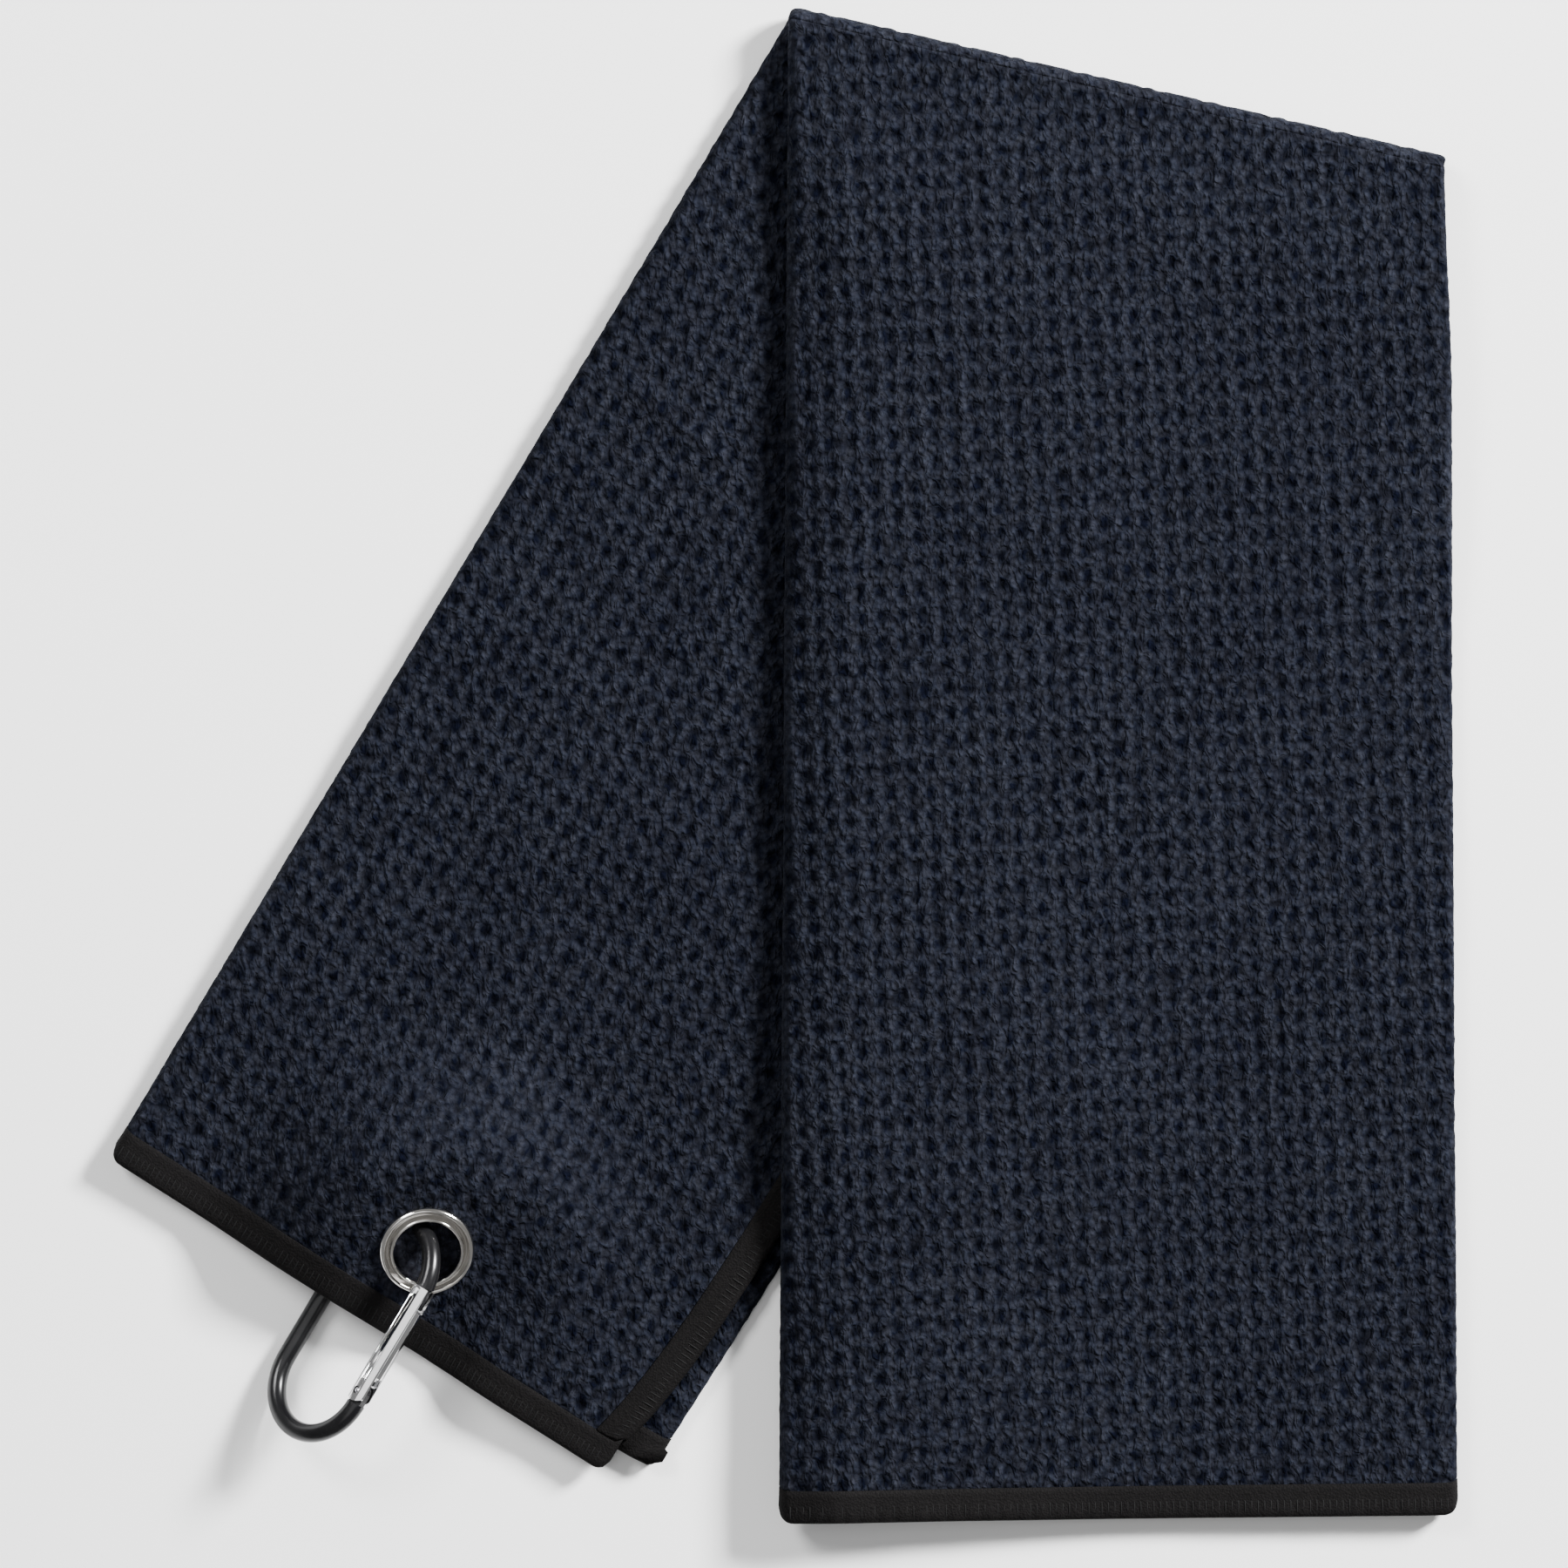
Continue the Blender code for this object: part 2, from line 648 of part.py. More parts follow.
def add_clip_body(surface):
    frame = clip_frame(0.0)
    rod = swept_rod(clip_line(), ROD_RADIUS, ROUND_SEGMENTS)
    rod.transform(frame)
    body = finish_mesh("clip_body", rod, surface, frame, True)
    half = TANG_THICKNESS / 2
    root = -GATE_NOSE_GAP - ROD_RADIUS / 2
    height = NOSE_TANG_HALF_HEIGHT
    boolean(body, "UNION", box_bmesh((root, -height, -half), (NOSE_TANG_LENGTH, height, half)), frame)
    notch = PIN_RADIUS + LATCH_CLEARANCE
    low = (LATCH_PLACE - notch, -notch, -ROD_RADIUS)
    high = (LATCH_PLACE + notch, height + CUT_MARGIN, ROD_RADIUS)
    boolean(body, "DIFFERENCE", box_bmesh(low, high), frame)
    tang = HINGE_TANG_RADIUS
    web_end = BOTTOM_BEND_CENTRE + ROD_RADIUS / 2
    boolean(body, "UNION", box_bmesh((GATE_HINGE, -tang, -half), (web_end, tang, half)), frame)
    eye = cylinder_bmesh(tang, TANG_THICKNESS, (GATE_HINGE, 0, 0), (0, 0, 1))
    boolean(body, "UNION", eye, frame)
    hole = cylinder_bmesh(PIN_RADIUS + PIN_CLEARANCE, 2 * ROD_RADIUS, (GATE_HINGE, 0, 0), (0, 0, 1))
    boolean(body, "DIFFERENCE", hole, frame)


def add_gate(surface):
    """The gate and everything in it, about the hinge pin: x = 0 is the pin, the nose is at -x."""
    frame = clip_frame(GATE_HINGE)
    nose = -GATE_HINGE
    bar_end = 0.0
    bar = cylinder_bmesh(GATE_RADIUS, bar_end - nose, ((nose + bar_end) / 2, 0, 0), (1, 0, 0))
    bar.transform(frame)
    gate = finish_mesh("gate", bar, surface, frame, True)
    knuckle = cylinder_bmesh(GATE_RADIUS, 2 * PIN_HALF_LENGTH, (0, 0, 0), (0, 0, 1))
    boolean(gate, "UNION", knuckle, frame)
    half = SLOT_WIDTH / 2
    wide = GATE_RADIUS + CUT_MARGIN
    low = (nose - CUT_MARGIN, -wide, -half)
    boolean(gate, "DIFFERENCE", box_bmesh(low, (nose + NOSE_SLOT_DEPTH, wide, half)), frame)
    slot_start = HINGE_SLOT_START - GATE_HINGE
    high = (GATE_RADIUS + CUT_MARGIN, wide, half)
    boolean(gate, "DIFFERENCE", box_bmesh((slot_start, -wide, -half), high), frame)
    bore_end = BORE_END - GATE_HINGE
    bore_mouth = slot_start + half
    centre = ((bore_end + bore_mouth) / 2, 0, 0)
    bore = cylinder_bmesh(BORE_RADIUS, bore_mouth - bore_end, centre, (1, 0, 0))
    boolean(gate, "DIFFERENCE", bore, frame)
    for place in (0.0, LATCH_PLACE - GATE_HINGE):
        hole = cylinder_bmesh(PIN_RADIUS + PIN_CLEARANCE, 4 * GATE_RADIUS, (place, 0, 0), (0, 0, 1))
        boolean(gate, "DIFFERENCE", hole, frame)


def add_pins(surface):
    frame = clip_frame(GATE_HINGE)
    places = (("hinge_pin", 0.0), ("latch_pin", LATCH_PLACE - GATE_HINGE))
    for name, place in places:
        pin = cylinder_bmesh(PIN_RADIUS, 2 * PIN_HALF_LENGTH, (place, 0, 0), (0, 0, 1))
        pin.transform(frame)
        finish_mesh(name, pin, surface, frame, True)


def add_spring(surface):
    """The gate's closing spring and the plunger that presses it on the hinge tang."""
    frame = clip_frame(GATE_HINGE)
    plunger_end = -HINGE_TANG_RADIUS - SEAT_GAP
    plunger_start = plunger_end - PLUNGER_LENGTH
    centre = ((plunger_start + plunger_end) / 2, 0, 0)
    plunger = cylinder_bmesh(PLUNGER_RADIUS, PLUNGER_LENGTH, centre, (1, 0, 0))
    plunger.transform(frame)
    finish_mesh("spring_plunger", plunger, surface, frame, True)

    first = BORE_END - GATE_HINGE + SEAT_GAP + SPRING_WIRE_RADIUS
    last = plunger_start - SEAT_GAP - SPRING_WIRE_RADIUS
    coil = coil_bmesh(first, last)
    coil.transform(frame)
    finish_mesh("gate_spring", coil, surface, frame, True)


def coil_bmesh(first, last):
    """A coil spring along x, its wire a swept ring of points."""
    bm = bmesh.new()
    count = SPRING_TURNS * SPRING_STEPS_PER_TURN
    rise = (last - first) / (2 * pi * SPRING_TURNS)
    rings = []
    for k in range(count + 1):
        a = 2 * pi * SPRING_TURNS * k / count
        outward = Vector((0, cos(a), sin(a)))
        heading = Vector((rise, -SPRING_RADIUS * sin(a), SPRING_RADIUS * cos(a))).normalized()
        square = heading.cross(outward)
        centre = Vector((first + rise * a, 0, 0)) + outward * SPRING_RADIUS
        ring = []
        for n in range(WIRE_SEGMENTS):
            b = 2 * pi * n / WIRE_SEGMENTS
            around = outward * cos(b) + square * sin(b)
            ring.append(bm.verts.new(centre + around * SPRING_WIRE_RADIUS))
        rings.append(ring)
    join_rings(bm, rings)
    return bm


# ---------------------------------------------------------------- the towel
def main():
    clear_scene()
    cloth = material("navy_waffle_cloth", (0.018, 0.024, 0.045), 0.95, 0.0)
    tape = material("black_binding_tape", (0.012, 0.011, 0.012), 0.8, 0.0)
    nickel = material("nickel_plate", (0.72, 0.70, 0.67), 0.18, 1.0)
    black = material("black_anodised_aluminium", (0.012, 0.012, 0.013), 0.3, 0.9)
    bright = material("bright_aluminium", (0.82, 0.82, 0.83), 0.22, 1.0)
    steel = material("spring_steel", (0.5, 0.5, 0.52), 0.3, 1.0)
    add_panels(cloth, tape)
    add_eyelet(nickel)
    add_clip_body(black)
    add_gate(bright)
    add_pins(steel)
    add_spring(steel)


main()
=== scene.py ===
"""The golf towel as it looks: waffle cloth, bound edges, eyelet and snap clip on the CAD frame.

Lengths are in metres. u runs across the folded strip from its left fold, v runs up the lower
panel from its hem, w runs down the upper panel from the crease, and height is counted through
the layers from the lower panel's face on the table.
"""

import json
import math

import bmesh
import bpy
import numpy as np
from mathutils import Matrix, Vector


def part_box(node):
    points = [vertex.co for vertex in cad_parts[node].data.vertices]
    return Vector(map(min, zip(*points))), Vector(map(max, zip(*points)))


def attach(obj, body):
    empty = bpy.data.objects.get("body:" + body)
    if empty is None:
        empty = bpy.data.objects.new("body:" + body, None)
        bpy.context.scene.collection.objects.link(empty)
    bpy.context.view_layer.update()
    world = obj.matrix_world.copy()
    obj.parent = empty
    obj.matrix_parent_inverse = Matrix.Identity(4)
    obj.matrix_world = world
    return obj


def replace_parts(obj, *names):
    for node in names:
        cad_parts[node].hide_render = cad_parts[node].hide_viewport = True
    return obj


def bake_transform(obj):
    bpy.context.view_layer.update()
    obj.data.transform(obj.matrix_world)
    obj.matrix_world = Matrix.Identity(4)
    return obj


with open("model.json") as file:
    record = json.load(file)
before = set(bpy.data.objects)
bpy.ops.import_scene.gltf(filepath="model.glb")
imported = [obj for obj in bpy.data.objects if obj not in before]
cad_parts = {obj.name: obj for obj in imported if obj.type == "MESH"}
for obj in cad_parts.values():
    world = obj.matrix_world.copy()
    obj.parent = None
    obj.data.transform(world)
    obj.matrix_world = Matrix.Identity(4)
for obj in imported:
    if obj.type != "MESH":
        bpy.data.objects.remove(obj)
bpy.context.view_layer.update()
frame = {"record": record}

# ---- places taken from the frame
JOINTS = {j["name"]: j for j in frame["record"]["behaviour"]["joints"]}
CREASE_START = np.array(JOINTS["crease_fold"]["pos_m"])
CREASE_AXIS = -np.array(JOINTS["crease_fold"]["axis"])
HINGE = Vector(JOINTS["gate_hinge"]["pos_m"])
CLIP_SQUARE = -Vector(JOINTS["gate_hinge"]["axis"])
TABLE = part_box("cloth_lower_panel")[0][2]

# ---- the towel's own sizes
# The folded strip, its two panels and how their hems and edges run
STRIP_WIDTH = 0.1355
LOWER_LEFT_LENGTH = 0.2813
UPPER_LEFT_LENGTH = 0.3188
UPPER_RIGHT_LENGTH = 0.2855
STRIP_LEAN = math.radians(30.86)
CREASE_DROP = math.atan2(-CREASE_AXIS[1], CREASE_AXIS[0])
UPPER_FLARE = math.radians(0.35)
TOP_HEM_SKEW = math.radians(-1.6)
UNDER_HEM_SKEW = math.radians(1.0)
LAYER = 0.0013
LAYER_GAP = 0.0003
PANEL_GAP = 0.0003
TOP_EDGE_INSET = 0.0039
TOP_EDGE_FLARE = 0.0072
TOP_EDGE_FLARE_LENGTH = 0.025
INNER_EDGE_INSET = 0.004
BINDING_WIDTH = 0.007

# The upper panel's step down past the lower one's edge, and its puffed left fold
DRAPE_START = 0.016
DRAPE_RUN = 0.046
FOLD_ROLL = 0.0030
FOLD_ROLL_REACH = 0.08

# The eyelet and the cloth that it holds up and squeezes
HEM_STRAIGHT = 0.0105
HEM_FALL = 0.0135
SLOPE_STEP = 0.0005
EYELET_INSET = 0.0186
EYELET_HEIGHT = 0.0103
EYELET_TILT_UP_STRIP = math.radians(16.2)
EYELET_TILT_TO_LEFT = math.radians(17.2)
STACK_SQUEEZE = 0.57
LIFT_REACH = 0.050
LIFT_FLAT_RADIUS = 0.014
SLOPE_REACH = 0.016
SQUEEZE_REACH = 0.030
HOLE_RADIUS = 0.0077

# Small departures from a straight strip
CORNER = 0.0028
CORNER_FADE = 0.006
UNDER_PULL = 0.0027
UNDER_PULL_RUN = 0.07
FRONT_SPREAD = 0.0013
MARK_FROM, MARK_TO = np.array([-0.0375, 0.0862]), np.array([-0.0075, 0.0622])
MARK_FADE = 0.012
PRESS_START, PRESS_RUN = 0.004, 0.007
TABLE_CLEAR = 0.00002

# Half-thicknesses, and where the cloth runs in under its tape
HALF = LAYER / 2
THIN_HALF = 0.00025
INNER_FACE = 0.6
CLOTH_INSET = 0.0007
BOUND_START, BOUND_RUN = 0.0064, 0.0009

# Heights of the layers, directions and places worked out from the sizes above
PITCH = LAYER + LAYER_GAP
STACK = 3 * LAYER + 2 * LAYER_GAP
BOTTOM_MID, INNER_MID, TOP_MID = HALF, HALF + PITCH, HALF + 2 * PITCH
ALONG = np.array([math.sin(STRIP_LEAN), math.cos(STRIP_LEAN), 0.0])
ACROSS = np.array([math.cos(STRIP_LEAN), -math.sin(STRIP_LEAN), 0.0])
CREASE_OUT = np.array([-CREASE_AXIS[1], CREASE_AXIS[0], 0.0])
FOLD_ANGLE = STRIP_LEAN - CREASE_DROP
CREASE_LENGTH = STRIP_WIDTH / math.cos(FOLD_ANGLE)
CREASE_ROOT = CREASE_START * (1, 1, 0)
STRIP_CORNER = CREASE_ROOT - ALONG * LOWER_LEFT_LENGTH
EYELET_U, EYELET_V = STRIP_WIDTH / 2, EYELET_INSET
SLOPE_UP_STRIP = math.tan(EYELET_TILT_UP_STRIP)
SLOPE_TO_LEFT = math.tan(EYELET_TILT_TO_LEFT)
UP = np.array([0, 0, 1])
EYELET_CENTRE = STRIP_CORNER + ACROSS * EYELET_U + ALONG * EYELET_V + UP * EYELET_HEIGHT
EYELET_NORMAL = UP + ACROSS * SLOPE_TO_LEFT - ALONG * SLOPE_UP_STRIP
EYELET_NORMAL = EYELET_NORMAL / np.linalg.norm(EYELET_NORMAL)

# Waffle weave: the cell's size, how deep its pits are, and how the weave runs on each panel
CELL_U, CELL_V = 0.00452, 0.00537
PIT_DEPTH = 0.00052
RIDGE_RISE = 0.00012
LOOP_RISE = 0.00009
LOWER_COLUMN_SKEW = math.tan(math.radians(0.9))
LOWER_ROW_SKEW = math.tan(math.radians(4.6))
CREASE_FALL = math.sin(CREASE_DROP) / math.cos(FOLD_ANGLE)
UPPER_COLUMN_SKEW = -math.tan(math.radians(3.3))
UPPER_STRETCH = 1.055
UPPER_ROW_SKEW = CREASE_FALL + math.tan(math.radians(5.0))

# Mesh steps on the cloth's seen faces and on the layer folded away inside
FINE, COARSE = 0.00078, 0.0035
LEFT_FOLD_STEPS, RIGHT_FOLD_STEPS = 14, 8


# ---- where the panels lie
def smooth(x):
    """0 below 0, 1 above 1 and an S curve between."""
    t = np.clip(x, 0, 1)
    return t * t * (3 - 2 * t)


def raised(u, v):
    """Height of the hump that the eyelet holds up."""
    du, dv = u - EYELET_U, v - EYELET_V
    distance = np.hypot(du, dv)
    hold = 1 / (1 + (np.maximum(0, distance - LIFT_FLAT_RADIUS) / SLOPE_REACH) ** 2)
    slope = hold * (SLOPE_UP_STRIP * dv - SLOPE_TO_LEFT * du)
    fall = 1 - smooth((distance - LIFT_FLAT_RADIUS) / (LIFT_REACH - LIFT_FLAT_RADIUS))
    return fall * (EYELET_HEIGHT - STACK * STACK_SQUEEZE / 2 + slope)


def lift(u, v):
    """Height of the lower panel's underside over the table."""
    base = raised(u, np.maximum(v, HEM_STRAIGHT))
    slope = (raised(u, HEM_STRAIGHT + SLOPE_STEP) - raised(u, HEM_STRAIGHT)) / SLOPE_STEP
    slope = np.minimum(slope, raised(u, HEM_STRAIGHT) / HEM_FALL)
    return base + slope * np.minimum(0, v - HEM_STRAIGHT)


def squeeze(u, v):
    """How much of its full thickness the stack keeps."""
    distance = np.hypot(u - EYELET_U, np.maximum(v, HEM_STRAIGHT) - EYELET_V)
    share = smooth((distance - LIFT_FLAT_RADIUS) / (SQUEEZE_REACH - LIFT_FLAT_RADIUS))
    return STACK_SQUEEZE + (1 - STACK_SQUEEZE) * share


def waves(x, y):
    """Slow, shallow unevenness of cloth that lies loose, never below zero."""
    a = np.sin(x * 61 + 1.3 * np.sin(y * 37 + 0.6)) * np.sin(y * 53 + 1.1 * np.sin(x * 29))
    b = np.sin(x * 118 + y * 67 + 1.9) * np.sin(y * 97 - x * 41 + 0.4)
    c = np.sin(x * 205 - y * 150 + 2.2 * np.sin(x * 60)) * np.sin(y * 190 + x * 90 + 1.0)
    return 0.00042 * (1 + a) + 0.00022 * (1 + b) + 0.00009 * (1 + c)


def rounded_corner(u, v, height, edge):
    """Distance from the hem, with the hem's corners at the folds and at the top edge rounded."""
    side = np.abs(u - STRIP_WIDTH / 2) - (STRIP_WIDTH / 2 - CORNER)
    top = np.where(height > INNER_MID + PITCH / 2, u - (edge - CORNER), side)
    past = np.clip(np.maximum(side, top) / CORNER, 0, 1)
    return v + CORNER * (1 - np.sqrt(1 - past**2)) * np.exp(-np.maximum(v, 0) / CORNER_FADE)


def crease_mark(x, y):
    """A short pressed line that crosses the lower panel beside the upper one."""
    length = np.linalg.norm(MARK_TO - MARK_FROM)
    heading = (MARK_TO - MARK_FROM) / length
    dx, dy = x - MARK_FROM[0], y - MARK_FROM[1]
    along, off = dx * heading[0] + dy * heading[1], dy * heading[0] - dx * heading[1]
    inside = smooth(along / MARK_FADE) * smooth((length - along) / MARK_FADE)
    narrow, wide = np.exp(-((off / 0.0016) ** 2)), np.exp(-((off / 0.006) ** 2))
    return inside * (0.0007 * narrow + 0.0005 * wide)


def pressed(flat):
    """1 where the upper panel lies on the lower one and holds it flat, 0 well outside its fold."""
    fold = CREASE_START[0] - math.sin(UPPER_FLARE) * (CREASE_START[1] - flat[..., 1])
    return smooth((flat[..., 0] - fold + PRESS_START) / PRESS_RUN)


def lower_place(u, v, height):
    """Points of the lower panel."""
    v = rounded_corner(u, v, height, top_edge(0.0))
    under = height < INNER_MID + PITCH / 2
    near_right = smooth((u - STRIP_WIDTH + 0.03) / 0.03)
    u = u - UNDER_PULL * under * near_right * np.exp(-np.maximum(v, 0) / UNDER_PULL_RUN)
    flat = STRIP_CORNER + u[..., None] * ACROSS + v[..., None] * ALONG
    near = np.hypot(u - EYELET_U, v - EYELET_V)
    loose = smooth((near - LIFT_FLAT_RADIUS) / 0.02) * smooth((crease_reach(u) - v) / 0.02)
    x, y = flat[..., 0], flat[..., 1]
    free = loose * height / STACK * (waves(x, y) * (1 - pressed(flat)) + crease_mark(x, y))
    flat[..., 2] = np.maximum(lift(u, v) + squeeze(u, v) * height + free, TABLE + TABLE_CLEAR)
    return flat


def crease_reach(u):
    """How far up the lower panel the crease lies."""
    return LOWER_LEFT_LENGTH + u * math.tan(FOLD_ANGLE)


def drape(flat):
    """Height of the upper panel's underside: on the lower panel, then down to the table."""
    past_edge = (flat - STRIP_CORNER) @ ACROSS - STRIP_WIDTH
    return (STACK + PANEL_GAP) * (1 - smooth((past_edge - DRAPE_START) / DRAPE_RUN))


def upper_place(u, w, height):
    """Points of the upper panel."""
    reach = upper_reach(u)
    w = reach - rounded_corner(u, reach - w, height, STRIP_WIDTH - TOP_EDGE_INSET)
    share = u / STRIP_WIDTH
    turn = UPPER_FLARE * (2 * share - 1)
    start = CREASE_ROOT + (CREASE_LENGTH * share)[..., None] * CREASE_AXIS
    heading = np.stack([np.sin(turn), -np.cos(turn), np.zeros_like(turn)], -1)
    flat = start + heading * w[..., None]
    flat[..., 0] += FRONT_SPREAD * share**2 * smooth(w / 0.05)
    free = smooth(w / 0.03) * (STACK - height) / STACK * waves(flat[..., 0] + 0.4, flat[..., 1] - 0.3)
    puff = smooth((u + 0.003) / 0.015) * (1 - smooth((u - 0.012) / FOLD_ROLL_REACH))
    roll = FOLD_ROLL * puff * smooth(w / 0.04)
    rise = drape(flat * (1, 1, 0)) + (STACK - height) * (1 + roll / STACK) + free
    flat[..., 2] = np.maximum(rise, TABLE + TABLE_CLEAR)
    return flat


def upper_reach(u):
    """Distance from the crease to the upper panel's hem."""
    return UPPER_LEFT_LENGTH + (UPPER_RIGHT_LENGTH - UPPER_LEFT_LENGTH) * u / STRIP_WIDTH


def top_edge(v):
    """Where the top third's edge lies on the lower panel."""
    flare = TOP_EDGE_FLARE * np.exp(-np.maximum(v, 0) / TOP_EDGE_FLARE_LENGTH)
    return STRIP_WIDTH - TOP_EDGE_INSET - flare


# ---- section through the thirds
LEFT_RADIUS = (TOP_MID - BOTTOM_MID) / 2
RIGHT_RADIUS = (INNER_MID - BOTTOM_MID) / 2
LEFT = LEFT_RADIUS + HALF
RIGHT = STRIP_WIDTH - RIGHT_RADIUS - HALF


def section(fine, end_inset):
    """Middle line of the three layers, from the top third's edge round to the inner third's.

    Arrays: share (top third only, 1 at its edge), u, height, outward u, outward height,
    distance to the nearest bound edge, whether on the top third.
    """
    rows = []
    span = STRIP_WIDTH - TOP_EDGE_INSET - LEFT
    for f in np.linspace(1, 0, int(span / fine) + 1):
        rows.append((f, 0, TOP_MID, 0, 1, 0, 1))
    for k in range(1, LEFT_FOLD_STEPS):
        a = math.pi / 2 + math.pi * k / LEFT_FOLD_STEPS
        u, h = LEFT + LEFT_RADIUS * math.cos(a), BOTTOM_MID + LEFT_RADIUS * (1 + math.sin(a))
        rows.append((0, u, h, math.cos(a), math.sin(a), 1, int(k < LEFT_FOLD_STEPS / 2)))
    for u in np.linspace(LEFT, RIGHT, int((RIGHT - LEFT) / fine) + 1):
        rows.append((0, u, BOTTOM_MID, 0, -1, 1, 0))
    for k in range(1, RIGHT_FOLD_STEPS):
        a = -math.pi / 2 + math.pi * k / RIGHT_FOLD_STEPS
        u, h = RIGHT + RIGHT_RADIUS * math.cos(a), BOTTOM_MID + RIGHT_RADIUS * (1 + math.sin(a))
        rows.append((0, u, h, math.cos(a), math.sin(a), 1, 0))
    last = INNER_EDGE_INSET + end_inset
    for u in np.linspace(RIGHT, last, int((RIGHT - last) / COARSE) + 1):
        rows.append((0, u, INNER_MID, 0, 1, u - INNER_EDGE_INSET, 0))
    return np.array(rows, float)


def waffle(pu, pv):
    """How far down a pit of the weave a place is, 0 on the ridges and 1 at a pit's middle."""
    wobble_u = 0.42 * np.sin(pv * 1170 + 2 * np.sin(pu * 640))
    wobble_u += 0.22 * np.sin(pu * 430 + pv * 290)
    wobble_v = 0.42 * np.sin(pu * 1390 + 1.0 + 2 * np.sin(pv * 590))
    wobble_v += 0.22 * np.sin(pv * 450 - pu * 310)
    a = np.cos(2 * math.pi * pu / CELL_U + wobble_u)
    b = np.cos(2 * math.pi * pv / CELL_V + wobble_v)
    return np.power((2.2 + 1.22 * a + 0.62 * b + 1.6 * a * b) / 5.64, 1.25)


def loops(pu, pv):
    """Uneven little loops of the pile, between -1 and 1."""
    a = np.sin(pu * 4100 + 3 * np.sin(pv * 1900)) * np.sin(pv * 3700 + 3 * np.sin(pu * 2300))
    b = np.sin(pu * 2900 + pv * 2600 + 1.7) * np.sin(pv * 3100 - pu * 2400 + 0.4)
    return 0.6 * a + 0.4 * b


# ---- mesh helpers
def put_in(name, mesh, surface):
    made = bpy.data.objects.new(name, mesh)
    bpy.context.scene.collection.objects.link(made)
    if surface is not None:
        mesh.materials.append(surface)
    return made


def add_object(name, verts, faces, surface):
    mesh = bpy.data.meshes.new(name)
    mesh.from_pydata(verts, [], faces)
    mesh.validate()
    mesh.shade_smooth()
    return put_in(name, mesh, surface)


def face_outward(made):
    """Caps of many corners split into triangles, and every face turned outward."""
    bm = bmesh.new()
    bm.from_mesh(made.data)
    bmesh.ops.triangulate(bm, faces=[f for f in bm.faces if len(f.verts) > 4])
    bmesh.ops.recalc_face_normals(bm, faces=bm.faces)
    bm.to_mesh(made.data)
    bm.free()
    return made


def solid(name, bm, frame_matrix, surface):
    """One object from a bmesh in the frame's coordinates."""
    bmesh.ops.recalc_face_normals(bm, faces=bm.faces)
    bm.transform(frame_matrix)
    mesh = bpy.data.meshes.new(name)
    bm.to_mesh(mesh)
    bm.free()
    return put_in(name, mesh, surface)


def box_of(low, high):
    bm = bmesh.new()
    bmesh.ops.create_cube(bm, size=1.0)
    bmesh.ops.scale(bm, vec=[b - a for a, b in zip(low, high)], verts=bm.verts)
    bmesh.ops.translate(bm, vec=[(a + b) / 2 for a, b in zip(low, high)], verts=bm.verts)
    return bm


def standing_at(centre, direction):
    """The matrix that puts the Z axis along a direction."""
    turn = Vector(direction).to_track_quat("Z", "Y").to_matrix().to_4x4()
    return Matrix.Translation(Vector(centre)) @ turn


def round_of(radius, length, centre, direction, segments=48):
    bm = bmesh.new()
    place = standing_at(centre, direction)
    bmesh.ops.create_cone(
        bm, cap_ends=True, segments=segments, radius1=radius, radius2=radius, depth=length, matrix=place
    )
    return bm


def add_boolean(made, operation, tool):
    modifier = made.modifiers.new("shape", "BOOLEAN")
    modifier.operation = operation
    modifier.object = tool
    modifier.solver = "EXACT"


def work_out(made, tools):
    """The modifiers' result becomes the mesh, and the tools go."""
    bpy.context.view_layer.update()
    found = made.evaluated_get(bpy.context.evaluated_depsgraph_get())
    mesh = bpy.data.meshes.new_from_object(found)
    made.modifiers.clear()
    made.data = mesh
    for tool in tools:
        bpy.data.objects.remove(tool)


def coarse_index(count, step):
    """Every step-th line of a fine grid, always with the last one."""
    picks = list(range(0, count, step))
    if picks[-1] != count - 1:
        if count - 1 - picks[-1] < step / 2 and len(picks) > 1:
            picks.pop()
        picks.append(count - 1)
    return picks


def quads(number):
    """Corner numbers of a grid's faces."""
    corners = number[:-1, :-1], number[:-1, 1:], number[1:, 1:], number[1:, :-1]
    return np.stack([c.ravel() for c in corners], 1)


def closed_sheet(name, outer, inner, pit, surface, step=5):
    """A sheet with a fine outer face, a coarser inner face and a closed rim."""
    rows, cols = outer.shape[:2]
    pick_j, pick_k = coarse_index(rows, step), coarse_index(cols, step)
    number = np.arange(rows * cols).reshape(rows, cols)
    small = inner[np.ix_(pick_j, pick_k)]
    under = rows * cols + np.arange(len(pick_j) * len(pick_k)).reshape(len(pick_j), len(pick_k))
    faces = quads(number).tolist() + quads(under)[:, [0, 3, 2, 1]].tolist()

    def rim(fine_line, coarse_line, picks, flip):
        for n in range(len(picks) - 1):
            low, high = picks[n], picks[n + 1]
            middle = (low + high) // 2
            for k in range(low, high):
                corner = coarse_line[n] if k < middle else coarse_line[n + 1]
                tri = [fine_line[k + 1], fine_line[k], corner]
                faces.append(tri[::-1] if flip else tri)
            tri = [fine_line[middle], coarse_line[n], coarse_line[n + 1]]
            faces.append(tri[::-1] if flip else tri)

    rim(number[0].tolist(), under[0].tolist(), pick_k, False)
    rim(number[-1].tolist(), under[-1].tolist(), pick_k, True)
    rim(number[:, 0].tolist(), under[:, 0].tolist(), pick_j, True)
    rim(number[:, -1].tolist(), under[:, -1].tolist(), pick_j, False)
    verts = np.concatenate([outer.reshape(-1, 3), small.reshape(-1, 3)])
    made = add_object(name, verts.tolist(), faces, surface)
    # The pits' depth is stored on the points, where the cloth's colour uses it for painted shade in the
    # pits.
    depth = np.concatenate([pit.ravel(), np.zeros(under.size)]).astype(np.float32)
    made.data.attributes.new("pit", "FLOAT", "POINT").data.foreach_set("value", depth)
    lay_flat(made, rows, cols, pick_j, pick_k)
    return made


